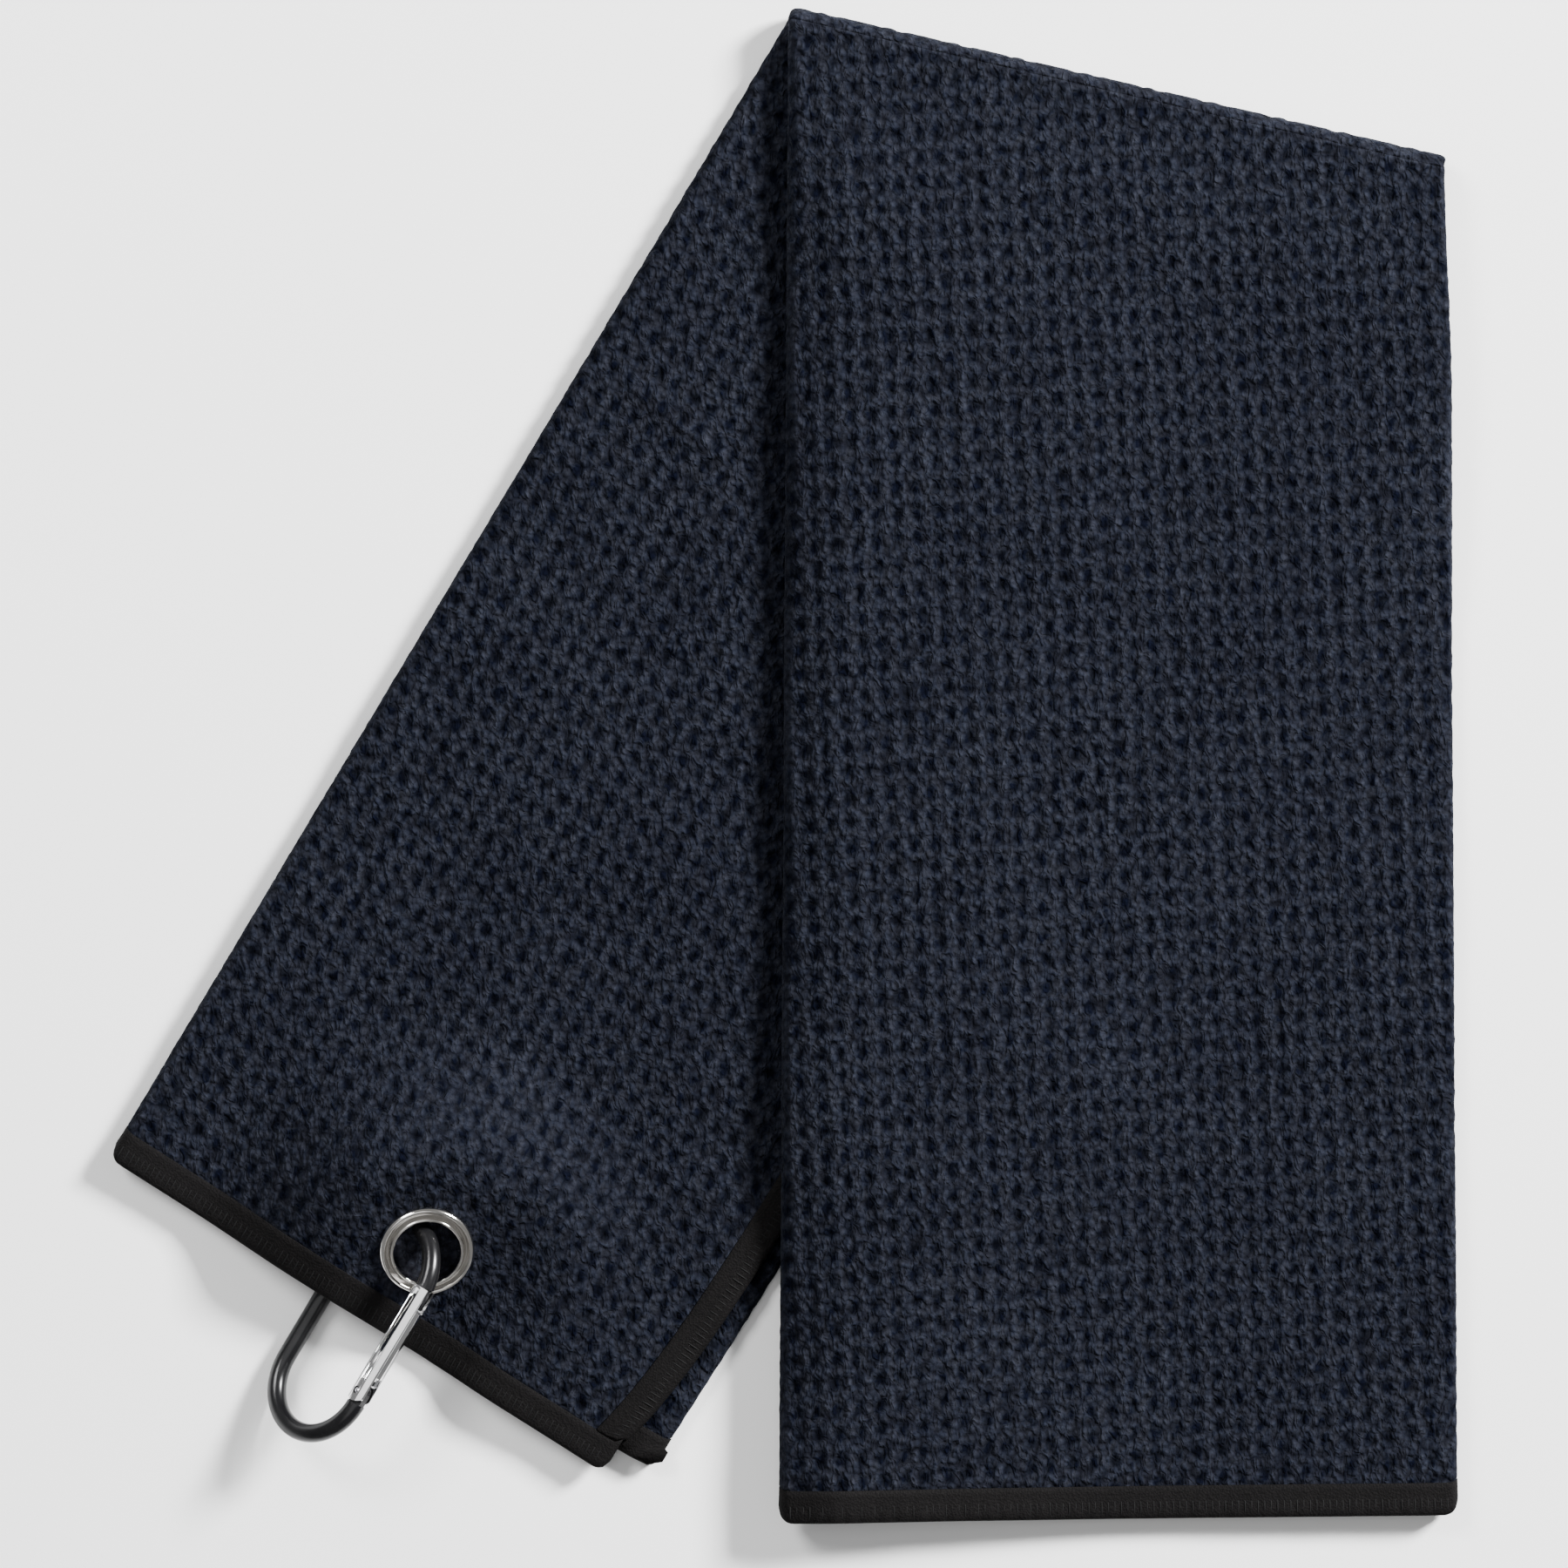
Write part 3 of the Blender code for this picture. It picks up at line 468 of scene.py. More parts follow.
def lay_flat(made, rows, cols, pick_j, pick_k):
    """Bake coordinates: the outer face fills most of the square, the inner face a strip beside it."""

    def patch(lines_j, lines_k, left, width):
        j, k = np.meshgrid(lines_j, lines_k, indexing="ij")
        spots = left + width * k / (cols - 1), 0.01 + 0.98 * j / (rows - 1)
        return np.stack(spots, -1).reshape(-1, 2)

    fine = patch(np.arange(rows), np.arange(cols), 0.01, 0.78)
    places = np.concatenate([fine, patch(np.array(pick_j), np.array(pick_k), 0.81, 0.18)])
    layer = made.data.uv_layers.new(name="OFBake")
    index = np.empty(len(made.data.loops), int)
    made.data.loops.foreach_get("vertex_index", index)
    layer.data.foreach_set("uv", places[index].ravel())


# ---- materials
# Navy on the ridges and painted shade down to near black in the pits, then what the flecks and tufts do to
# it
NAVY_AND_PAINTED_PIT_SHADE = [
    (0.0, (0.0103, 0.0112, 0.0162)),
    (0.40, (0.0056, 0.0066, 0.0107)),
    (0.90, (0.0006, 0.0009, 0.0028)),
]
SPECKS = [(0.36, (0.60, 0.60, 0.60)), (0.50, (1.0, 1.0, 1.0)), (0.64, (1.55, 1.52, 1.45))]
TUFTS = [(0.10, (1.5, 1.5, 1.45)), (0.45, (1.05, 1.05, 1.05)), (0.80, (0.45, 0.45, 0.50))]
FUZZ = [(0.35, (0.85, 0.85, 0.85)), (0.65, (1.18, 1.18, 1.18))]
TONES = [(0.3, (0.90, 0.90, 0.92)), (0.7, (1.10, 1.10, 1.08))]
TAPE_COLOURS = [(0.3, (0.0013, 0.0011, 0.0012)), (0.7, (0.0034, 0.0029, 0.0030))]
TAPE_TONES = [(0.3, (0.85, 0.85, 0.85)), (0.7, (1.15, 1.15, 1.15))]
THREAD_COLOURS = [(0.35, (0.0016, 0.0016, 0.0017)), (0.65, (0.0050, 0.0050, 0.0052))]


def tree_of(name, **settings):
    """A new material, its nodes and links, its shader with these settings, and object coordinates."""
    made = bpy.data.materials.new(name)
    made.use_nodes = True
    nodes, links = made.node_tree.nodes, made.node_tree.links
    shader = nodes["Principled BSDF"]
    for key, value in settings.items():
        shader.inputs[key.replace("_", " ")].default_value = value
    return made, nodes, links, shader, nodes.new("ShaderNodeTexCoord").outputs["Object"]


def ramp(nodes, links, value, stops):
    made = nodes.new("ShaderNodeValToRGB")
    elements = made.color_ramp.elements
    while len(elements) < len(stops):
        elements.new(0.5)
    for element, (place, colour) in zip(elements, stops):
        element.position = place
        element.color = (*colour, 1)
    links.new(value, made.inputs["Fac"])
    return made.outputs["Color"]


def noise(nodes, links, where, scale, detail=3, rough=0.55, swirl=0.0):
    made = nodes.new("ShaderNodeTexNoise")
    made.inputs["Scale"].default_value = scale
    made.inputs["Detail"].default_value = detail
    made.inputs["Roughness"].default_value = rough
    made.inputs["Distortion"].default_value = swirl
    links.new(where, made.inputs["Vector"])
    return made.outputs["Fac"]


def stretched(nodes, links, where, scale, turn=0.0):
    made = nodes.new("ShaderNodeMapping")
    made.inputs["Scale"].default_value = scale
    made.inputs["Rotation"].default_value = (0, 0, turn)
    links.new(where, made.inputs["Vector"])
    return made.outputs["Vector"]


def cells(nodes, links, where, scale):
    """Distance to the middle of little uneven cells."""
    made = nodes.new("ShaderNodeTexVoronoi")
    made.inputs["Scale"].default_value = scale
    links.new(where, made.inputs["Vector"])
    return made.outputs["Distance"]


def maths(nodes, links, operation, *values):
    made = nodes.new("ShaderNodeMath")
    made.operation = operation
    for socket, value in zip(made.inputs, values):
        if isinstance(value, (int, float)):
            socket.default_value = value
        else:
            links.new(value, socket)
    return made.outputs["Value"]


def multiply(nodes, links, first, second):
    """One colour times another."""
    made = nodes.new("ShaderNodeMix")
    made.data_type = "RGBA"
    made.blend_type = "MULTIPLY"
    made.inputs[0].default_value = 1.0
    links.new(first, made.inputs[6])
    links.new(second, made.inputs[7])
    return made.outputs[2]


def bump(nodes, links, height, strength, distance, after=None):
    made = nodes.new("ShaderNodeBump")
    made.inputs["Strength"].default_value = strength
    made.inputs["Distance"].default_value = distance
    links.new(height, made.inputs["Height"])
    if after is not None:
        links.new(after, made.inputs["Normal"])
    return made.outputs["Normal"]


def cloth_material():
    """Navy microfibre: fuzzy loops on the ridges, and painted shade darkening the pits."""
    made, nodes, links, shader, where = tree_of(
        "navy_waffle",
        Roughness=0.95,
        Specular_IOR_Level=0.03,
        Sheen_Weight=0.02,
        Sheen_Roughness=0.45,
        Sheen_Tint=(0.55, 0.62, 0.8, 1),
    )
    attribute = nodes.new("ShaderNodeAttribute")
    attribute.attribute_name = "pit"
    tuft = cells(nodes, links, where, 640)
    leaning = stretched(nodes, links, where, (1.25, 0.75, 1), math.radians(-14))
    fleck = noise(nodes, links, leaning, 560, 1, 0.5, 1.1)
    fibre = noise(nodes, links, where, 2100, 3, 0.6)
    broad = noise(nodes, links, where, 45)
    ragged = maths(nodes, links, "MULTIPLY_ADD", fleck, 2.0, -1.0)
    # Painted shade: the pits' depth, roughened by the flecks, darkens the colour towards near black.
    depth = maths(nodes, links, "ADD", attribute.outputs["Fac"], ragged)
    colour = ramp(nodes, links, depth, NAVY_AND_PAINTED_PIT_SHADE)
    for value, stops in ((fleck, SPECKS), (tuft, TUFTS), (fibre, FUZZ), (broad, TONES)):
        colour = multiply(nodes, links, colour, ramp(nodes, links, value, stops))
    links.new(colour, shader.inputs["Base Color"])
    normal = bump(nodes, links, tuft, 0.7, -0.0008)
    normal = bump(nodes, links, fleck, 0.8, 0.0012, normal)
    links.new(bump(nodes, links, fibre, 0.3, 0.0002, normal), shader.inputs["Normal"])
    return made


def tape_material():
    """Black woven tape with fine ribs."""
    made, nodes, links, shader, where = tree_of("black_tape", Roughness=0.78, Specular_IOR_Level=0.08)
    weave = cells(nodes, links, where, 2200)
    fine = noise(nodes, links, where, 1800)
    broad = noise(nodes, links, where, 90, 2)
    colour = ramp(nodes, links, fine, TAPE_COLOURS)
    colour = multiply(nodes, links, colour, ramp(nodes, links, broad, TAPE_TONES))
    links.new(colour, shader.inputs["Base Color"])
    normal = bump(nodes, links, weave, 0.5, 0.0002)
    links.new(bump(nodes, links, fine, 0.3, 0.0002, normal), shader.inputs["Normal"])
    return made


def thread_material():
    """Dull black twisted thread."""
    made, nodes, links, shader, where = tree_of("stitching_thread", Roughness=0.7, Specular_IOR_Level=0.12)
    twist = noise(nodes, links, where, 5200, 2)
    links.new(ramp(nodes, links, twist, THREAD_COLOURS), shader.inputs["Base Color"])
    links.new(bump(nodes, links, twist, 0.5, 0.0001), shader.inputs["Normal"])
    return made


def metal_material(name, dark, light, gloss, metallic, scale, marks):
    """Metal whose colour, gloss and surface vary with fine handling marks."""
    made, nodes, links, shader, where = tree_of(name, Metallic=metallic)
    fine = noise(nodes, links, stretched(nodes, links, where, (1, 1, 3)), scale, 5, 0.65)
    broad = noise(nodes, links, where, 160)
    links.new(ramp(nodes, links, broad, [(0.3, dark), (0.7, light)]), shader.inputs["Base Color"])
    rough = maths(nodes, links, "MULTIPLY_ADD", fine, gloss[1] - gloss[0], gloss[0])
    links.new(rough, shader.inputs["Roughness"])
    links.new(bump(nodes, links, fine, marks, 0.00005), shader.inputs["Normal"])
    return made


CLOTH = cloth_material()
TAPE = tape_material()
THREAD = thread_material()
NICKEL, BLACK, BRIGHT, STEEL = (
    metal_material(*settings)
    for settings in (
        ("nickel_plate_polished", (0.60, 0.58, 0.55), (0.78, 0.76, 0.73), (0.06, 0.16), 1.0, 900, 0.08),
        ("black_anodised", (0.005, 0.005, 0.006), (0.011, 0.011, 0.012), (0.18, 0.32), 0.4, 1400, 0.10),
        ("bright_aluminium_polished", (0.78, 0.78, 0.79), (0.92, 0.92, 0.92), (0.05, 0.14), 1.0, 1100, 0.08),
        ("drawn_steel", (0.36, 0.36, 0.38), (0.58, 0.58, 0.60), (0.20, 0.40), 1.0, 1600, 0.12),
    )
)


# ---- cloth
def panel_cloth(name, place, reach, hem_gap, phase, edge_of):
    """One panel's three layers as one closed sheet of cloth."""
    path = section(FINE, CLOTH_INSET)
    t = np.linspace(0, 1, int(0.30 / FINE))[:, None]
    share, u0, h, nu, nh, edge_gap, on_top = (path[:, i][None, :] for i in range(7))
    shift = np.where(on_top > 0, math.tan(TOP_HEM_SKEW), math.tan(UNDER_HEM_SKEW))
    top = share > 0
    top[0, int(np.argmax(path[:, 3] != 0)) - 1] = True
    u = np.broadcast_to(u0, (len(t), len(path))).copy()
    for _ in range(2):
        along = hem_gap(u, shift) + t * (reach(u) - hem_gap(u, shift))
        edge = edge_of(along) - CLOTH_INSET
        u = np.where(top, LEFT + share * (edge - LEFT), u)
    length = reach(u) - hem_gap(u, shift)
    along = hem_gap(u, shift) + t * length
    from_edge = np.where(top, edge_of(along) - u, np.where(edge_gap == 1, 1.0, edge_gap))
    from_hem = t * length + CLOTH_INSET
    bound = smooth((np.minimum(from_edge, from_hem) - BOUND_START) / BOUND_RUN)
    at_crease = smooth((1 - t) * length / 0.0014)
    pit = waffle(*phase(u, along)) * bound * at_crease * (0.3 + 0.7 * np.abs(nh))
    relief = (RIDGE_RISE - PIT_DEPTH * pit + LOOP_RISE * loops(*phase(u, along))) * bound
    half = THIN_HALF + (HALF - THIN_HALF) * bound
    outer = place(u + (half + relief) * nu, along, h + (half + relief) * nh)
    inner = place(u - half * nu * INNER_FACE, along, h - half * nh * INNER_FACE)
    return closed_sheet(name, outer, inner, pit, CLOTH)


def lower_phase(u, v):
    return u + v * LOWER_COLUMN_SKEW, v + u * LOWER_ROW_SKEW


def upper_phase(u, along):
    w = upper_reach(u) - along
    return u * UPPER_STRETCH + w * UPPER_COLUMN_SKEW, w + u * UPPER_ROW_SKEW


def upward(u, along, height):
    """The upper panel with places measured up from its hem."""
    return upper_place(u, upper_reach(u) - along, height)


def lower_gap(u, shift):
    return u * shift + CLOTH_INSET


def upper_gap(u, shift):
    return 0 * u + CLOTH_INSET


def straight_edge(along):
    return np.full_like(along, STRIP_WIDTH - TOP_EDGE_INSET)


def crease_cloth():
    """The same three layers where they turn over at the crease."""
    path = section(FINE, CLOTH_INSET)
    share, u, h, nu, nh = (path[:, i] for i in range(5))
    edge = STRIP_WIDTH - TOP_EDGE_INSET - CLOTH_INSET
    top = share > 0
    top[int(np.argmax(nu != 0)) - 1] = True
    u = np.where(top, LEFT + share * (edge - LEFT), u)
    turns = np.linspace(0, math.pi, 15)[:, None]
    centre = CREASE_START[2]
    flatten, weave_share = 0.62, 0.8

    def at(uu, hh):
        reach = centre - hh
        spot = CREASE_ROOT + (CREASE_LENGTH * uu / STRIP_WIDTH)[..., None] * CREASE_AXIS
        made = spot[None, :, :] + (reach * flatten * np.sin(turns))[..., None] * CREASE_OUT
        made[..., 2] = centre - reach * np.cos(turns)
        return made

    flat_v = crease_reach(u) + (centre - h) * turns * weave_share
    pit = waffle(*lower_phase(np.broadcast_to(u, flat_v.shape), flat_v)) * np.sin(turns) ** 0.5
    outer = at(u + (HALF + RIDGE_RISE) * nu, h + (HALF + RIDGE_RISE * np.abs(nh)) * nh)
    inner = at(u - HALF * INNER_FACE * nu, h - HALF * INNER_FACE * nh)
    away = outer - inner
    away = away / np.maximum(np.linalg.norm(away, axis=-1, keepdims=True), 1e-9)
    outer = outer - away * (pit * PIT_DEPTH)[..., None]
    return closed_sheet("towel_cloth_crease", outer, inner, pit, CLOTH, step=2)


back_cloth = panel_cloth(
    "towel_cloth_back", lower_place, crease_reach, lower_gap, lower_phase, top_edge
)
hole_shape = round_of(HOLE_RADIUS + 0.0001, 0.02, EYELET_CENTRE, EYELET_NORMAL, 96)
hole = solid("hole", hole_shape, Matrix(), None)
add_boolean(back_cloth, "DIFFERENCE", hole)
work_out(back_cloth, [hole])
front_cloth = panel_cloth(
    "towel_cloth_front", upward, upper_reach, upper_gap, upper_phase, straight_edge
)
bend_cloth = crease_cloth()
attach(back_cloth, "back_panel")
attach(front_cloth, "front_panel")
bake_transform(bend_cloth)
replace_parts(back_cloth, "cloth_lower_panel")
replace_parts(front_cloth, "cloth_upper_panel")


# ---- binding tapes
# Half-thickness of a tape outside and inside its fold, and its section from the open lips to the
# fold as (share of the width inward, share of the half-thickness)
TAPE_OUT, TAPE_IN = 0.00074, 0.00036
TAPE_FACE = [(1.00, 0.90), (0.985, 1.00), (0.80, 1.03), (0.55, 1.06)]
TAPE_FACE += [(0.30, 1.06), (0.12, 1.00), (0.05, 0.85), (0.012, 0.50)]
TAPE_PROFILE = [(1.00, TAPE_IN)] + [(inward, TAPE_OUT * share) for inward, share in TAPE_FACE] + [(0.0, 0.0)]
TAPE_PROFILE += [(inward, -TAPE_OUT * share) for inward, share in reversed(TAPE_FACE)]
TAPE_PROFILE += [(1.00, -TAPE_IN), (0.09, -TAPE_IN), (0.09, TAPE_IN)]
RIB_PITCH, RIB_RISE = 0.00125, 0.00013
TICK_PITCH, TICK_FROM, TICK_TO = 0.0013, 0.09, 0.58
CREASE_CLEAR = 0.0004
JOIN = BINDING_WIDTH + 0.0003
SET_LENGTH = 0.03
HEM_STEP, SEEN_STEP, HIDDEN_STEP = 0.00076, 0.0006, 0.002


def sweep(name, rings, surface):
    """A tube through rings of points, closed at both ends."""
    rings = np.array(rings)
    count, sides = rings.shape[:2]
    number = np.arange(count * sides).reshape(count, sides)
    after = np.roll(number, -1, axis=1)
    faces = np.stack([number[:-1], after[:-1], after[1:], number[1:]], -1).reshape(-1, 4).tolist()
    faces.append(number[0][::-1].tolist())
    faces.append(number[-1].tolist())
    return face_outward(add_object(name, rings.reshape(-1, 3).tolist(), faces, surface))


def ribbed(length_along, offset, inward):
    """Offset of a tape's face, with fine ribs across its outer half."""
    rib = RIB_RISE * math.sin(2 * math.pi * length_along / RIB_PITCH)
    strength = 1.0 if inward < 0.5 else 0.15
    return offset + math.copysign(rib * strength, offset) if offset else offset


def hem_tape(name, place, edge, top_shift, under_shift):
    """The tape along a hem, right round its three layers, and marks for its stitches."""
    rings, marks, run, before = [], [], 0.0, None
    for share, u, h, nu, nh, _, on_top in section(HEM_STEP, 0.0):
        if share > 0 or (nh == 1 and h > INNER_MID + PITCH / 2):
            u = LEFT + share * (edge - LEFT)
        if before is not None:
            run += math.hypot(u - before[0], h - before[1])
        before = (u, h)
        shift = top_shift if on_top else under_shift
        ring = []
        for inward, offset in TAPE_PROFILE:
            off = ribbed(run, offset, inward)
            ring.append((u + off * nu, u * shift + inward * BINDING_WIDTH, h + off * nh))
        rings.append(ring)
        marks.append((run, u, h, nu, nh, shift))
    return sweep(name, place(*np.moveaxis(np.array(rings), -1, 0)), TAPE), marks


def edge_tape(name, place, edge_of, height, sign, start, stop, step=SEEN_STEP):
    """The tape along a long edge, from the hem to the crease, and marks for its stitches."""
    rings, marks = [], []
    count = int((stop - start) / step)
    for n in range(count + 1):
        along = start + (stop - start) * n / count
        edge = edge_of(along)
        ring = []
        for inward, offset in TAPE_PROFILE:
            off = ribbed(along, offset, inward)
            ring.append((edge - sign * inward * BINDING_WIDTH, along, height + off))
        rings.append(ring)
        marks.append((along, edge))
    return sweep(name, place(*np.moveaxis(np.array(rings), -1, 0)), TAPE), marks


def to_crease(u, along, reach):
    """Places along an edge, stretched past the hem so that they end at the slanting crease."""
    full, base = (reach(x) - CREASE_CLEAR - SET_LENGTH for x in (u, np.full_like(u, STRIP_WIDTH / 2)))
    return np.where(along < SET_LENGTH, along, SET_LENGTH + (along - SET_LENGTH) * full / base)


def slanted(u, along, height):
    return lower_place(u, to_crease(u, along, crease_reach), height)


def slanted_up(u, along, height):
    return upward(u, to_crease(u, along, upper_reach), height)


def lower_edge(along):
    return float(top_edge(along))


def upper_edge(along):
    return STRIP_WIDTH - TOP_EDGE_INSET


def inner_edge(along):
    return INNER_EDGE_INSET


LOWER_END = crease_reach(STRIP_WIDTH / 2) - CREASE_CLEAR
UPPER_END = upper_reach(STRIP_WIDTH / 2) - CREASE_CLEAR
TOP_JOIN = JOIN + STRIP_WIDTH * math.tan(TOP_HEM_SKEW)
hem_back, hem_back_marks = hem_tape(
    "hem_tape_back", lower_place, lower_edge(0.0), math.tan(TOP_HEM_SKEW), math.tan(UNDER_HEM_SKEW)
)
hem_front, hem_front_marks = hem_tape("hem_tape_front", upward, upper_edge(0.0), 0.0, 0.0)
(outer_back, outer_back_marks), (outer_front, _), (inner_back, _), (inner_front, _) = (
    edge_tape(*settings)
    for settings in (
        ("outer_edge_tape_back", slanted, lower_edge, TOP_MID, 1, TOP_JOIN, LOWER_END),
        ("outer_edge_tape_front", slanted_up, upper_edge, TOP_MID, 1, JOIN, UPPER_END),
        ("inner_edge_tape_back", slanted, inner_edge, INNER_MID, -1, JOIN, LOWER_END, HIDDEN_STEP),
        ("inner_edge_tape_front", slanted_up, inner_edge, INNER_MID, -1, JOIN, UPPER_END, HIDDEN_STEP),
    )
)


# ---- stitching
def thread_run(name, stitches):
    """Short rounded stitches, each from one point to another with a little rise in between."""
    radius, sides, rings = 0.00017, 8, 7
    verts, faces = [], []
    for first, second, up in stitches:
        first, second, up = np.array(first), np.array(second), np.array(up)
        heading = second - first
        length = np.linalg.norm(heading)
        heading = heading / length
        side = np.cross(up, heading)
        side = side / np.linalg.norm(side)
        up = np.cross(heading, side)
        base = len(verts)
        for r in range(rings):
            f = r / (rings - 1)
            bulge = math.sin(math.pi * f)
            girth = radius * (0.35 + 0.65 * bulge**0.45) if 0 < f < 1 else radius * 0.3
            centre = first + heading * length * f + up * (radius * 0.8 * bulge - radius * 0.5)
            for s in range(sides):
                a = 2 * math.pi * s / sides
                verts.append(tuple(centre + girth * (math.cos(a) * side + math.sin(a) * up)))
        for r in range(rings - 1):
            for s in range(sides):
                n = (s + 1) % sides
                a = base + r * sides
                faces.append((a + s, a + n, a + sides + n, a + sides + s))
        faces.append(tuple(base + s for s in reversed(range(sides))))
        faces.append(tuple(base + (rings - 1) * sides + s for s in range(sides)))
    return add_object(name, verts, faces, THREAD)


def hem_stitches(place, marks):
    """Overlock ticks across the outer half of a hem tape, on the faces that look up."""
    stitches = []
    run = np.array([m[0] for m in marks])
    table = np.array([m[1:] for m in marks])
    for s in np.arange(0.003, run[-1] - 0.003, TICK_PITCH):
        u, h, nu, nh, shift = (np.interp(s, run, table[:, i]) for i in range(5))
        ends = []
        for inward, off in ((TICK_FROM, TAPE_OUT), (TICK_TO, TAPE_OUT * 1.03), (TICK_FROM, TAPE_OUT * 2)):
            spot = (u + off * nu, u * shift + inward * BINDING_WIDTH, h + off * nh)
            ends.append(place(*(np.array([x]) for x in spot))[0])
        first, second, lifted = ends
        if (lifted - first)[2] > 0.7 * np.linalg.norm(lifted - first):
            stitches.append((first, second, lifted - first))
    return stitches


def edge_stitches(place, marks, height):
    """Overlock ticks across the outer half of an edge tape, on its upper face."""
    stitches = []
    along, edges = (np.array(x) for x in zip(*marks))
    for s in np.arange(along[0] + 0.001, along[-1] - 0.001, TICK_PITCH):
        edge = float(np.interp(s, along, edges))
        ends = [(edge - TICK_FROM * BINDING_WIDTH, s, height + TAPE_OUT)]
        ends.append((edge - TICK_TO * BINDING_WIDTH, s + 0.0002, height + TAPE_OUT * 1.05))
        first, second = (place(*(np.array([x]) for x in spot))[0] for spot in ends)
        stitches.append((first, second, UP))
    return stitches


hem_back_thread = thread_run("hem_stitching_back", hem_stitches(lower_place, hem_back_marks))
hem_front_thread = thread_run("hem_stitching_front", hem_stitches(upward, hem_front_marks))
outer_back_thread = thread_run(
    "outer_edge_stitching_back", edge_stitches(slanted, outer_back_marks, TOP_MID)
)

for tape, body, node in (
    (hem_back, "back_panel", "hem_binding_lower"),
    (hem_front, "front_panel", "hem_binding_upper"),
    (outer_back, "back_panel", "outer_edge_binding_lower"),
    (outer_front, "front_panel", "outer_edge_binding_upper"),
    (inner_back, "back_panel", "inner_edge_binding_lower"),
    (inner_front, "front_panel", "inner_edge_binding_upper"),
):
    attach(tape, body)
    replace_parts(tape, node)
for thread, body in (
    (hem_back_thread, "back_panel"),
    (hem_front_thread, "front_panel"),
    (outer_back_thread, "back_panel"),
):
    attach(thread, body)


# ---- eyelet
def turned(name, profile, frame_matrix, surface):
    """A ring from a closed (radius, height) outline, turned about the frame's Z axis."""
    segments, count = 128, len(profile)
    radius, height = np.array(profile).T
    angle = np.linspace(0, 2 * math.pi, segments, endpoint=False)[:, None]
    ring = np.stack([radius * np.cos(angle), radius * np.sin(angle), height + 0 * angle], -1)
    number = np.arange(segments * count).reshape(segments, count)
    side, after = np.roll(number, -1, axis=0), np.roll(number, -1, axis=1)
    both = np.roll(side, -1, axis=1)
    faces = np.stack([number, side, both, after], -1).reshape(-1, 4).tolist()
    made = add_object(name, ring.reshape(-1, 3).tolist(), faces, surface)
    made.data.transform(frame_matrix)
    return face_outward(made)


def rounded(points, radius):
    """A closed outline with its corners rounded off."""
    made = []
    points = [np.array(p, float) for p in points]
    for index, corner in enumerate(points):
        before, after = points[index - 1] - corner, points[(index + 1) % len(points)] - corner
        back, on = np.linalg.norm(before), np.linalg.norm(after)
        size = min(radius, 0.45 * back, 0.45 * on)
        first, last = corner + before / back * size, corner + after / on * size
        for t in np.linspace(0, 1, 6):
            made.append((1 - t) ** 2 * first + 2 * t * (1 - t) * corner + t**2 * last)
    return made


# The eyelet's own radii, and the heights of its flange's seat and its rolled lip over the grip
BORE, FLANGE, LIP, BARREL = 0.00705, 0.0102, 0.0086, 0.00755
WASHER_FACE, WASHER_BACK = 0.00012, 0.00055
grip = STACK * STACK_SQUEEZE / 2 * EYELET_NORMAL[2]
seat, low = grip + 0.00012, -grip - 0.0007
BEAD = [(0.0, 0.0), (0.0, 0.0011), (0.0002, 0.0015), (0.0006, 0.0015), (0.00135, 0.00002), (0.0020, 0.00115)]
eyelet_outline = [(BORE + out, seat + rise) for out, rise in BEAD]
eyelet_outline += [(BORE + 0.0025, seat + 0.00125), (FLANGE - 0.0002, seat + 0.0008), (FLANGE, seat)]
eyelet_outline += [(FLANGE, seat - 0.0001), (BARREL, seat), (BARREL, low), (LIP, low), (LIP, low - 0.00025)]
eyelet_outline += [(LIP - 0.0004, low - 0.00045), (BORE + 0.0004, low - 0.00045), (BORE, low)]
washer_outline = [(HOLE_RADIUS, -grip - WASHER_BACK), (FLANGE, -grip - WASHER_BACK)]
washer_outline += [(FLANGE, -grip - WASHER_FACE), (HOLE_RADIUS, -grip - WASHER_FACE)]
eyelet_frame = standing_at(EYELET_CENTRE, EYELET_NORMAL)
eyelet = turned("eyelet_ring", rounded(eyelet_outline, 0.0003), eyelet_frame, NICKEL)
washer = turned("eyelet_back_washer", rounded(washer_outline, 0.00012), eyelet_frame, NICKEL)
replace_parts(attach(eyelet, "back_panel"), "eyelet")
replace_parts(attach(washer, "back_panel"), "eyelet_washer")

# ---- snap clip
# Places along the clip are measured from its nose, and radii are of round sections and holes
CLIP_WIDTH = 0.0237
ROD, BEND = 0.0020, CLIP_WIDTH / 2
TOP_BEND, BOTTOM_BEND = 0.0016, 0.0282
GATE_HINGE, GATE_LATCH = 0.0255, 0.0022
GATE = 0.0024
PIN, PIN_HALF, PIN_HOLE = 0.00065, 0.0020, 0.0008
BORE_END = 0.0095 - GATE_HINGE
CLIP_LONG = Vector(-ALONG)
CLIP_WIDE = CLIP_SQUARE.cross(CLIP_LONG)
NOSE = HINGE - CLIP_LONG * GATE_HINGE


def clip_frame(along):
    columns = Matrix((CLIP_LONG, CLIP_WIDE, CLIP_SQUARE)).transposed().to_4x4()
    return Matrix.Translation(NOSE + CLIP_LONG * along) @ columns


def soften(made):
    made.data.shade_smooth()
    made.data.set_sharp_from_angle(angle=math.radians(50))
    return made


def shaped(name, base, steps, surface, frame_matrix, bevel):
    """A solid with pieces added or cut in turn, then its edges rounded."""
    made = solid(name, base, frame_matrix, surface)
    tools = []
    for operation, bm in steps:
        tools.append(solid("tool", bm, frame_matrix, None))
        add_boolean(made, operation, tools[-1])
    round_off = made.modifiers.new("edges", "BEVEL")
    round_off.width = bevel
    round_off.segments = 3
    round_off.limit_method = "ANGLE"
    round_off.angle_limit = math.radians(38)
    round_off.harden_normals = False
    work_out(made, tools)
    return soften(made)


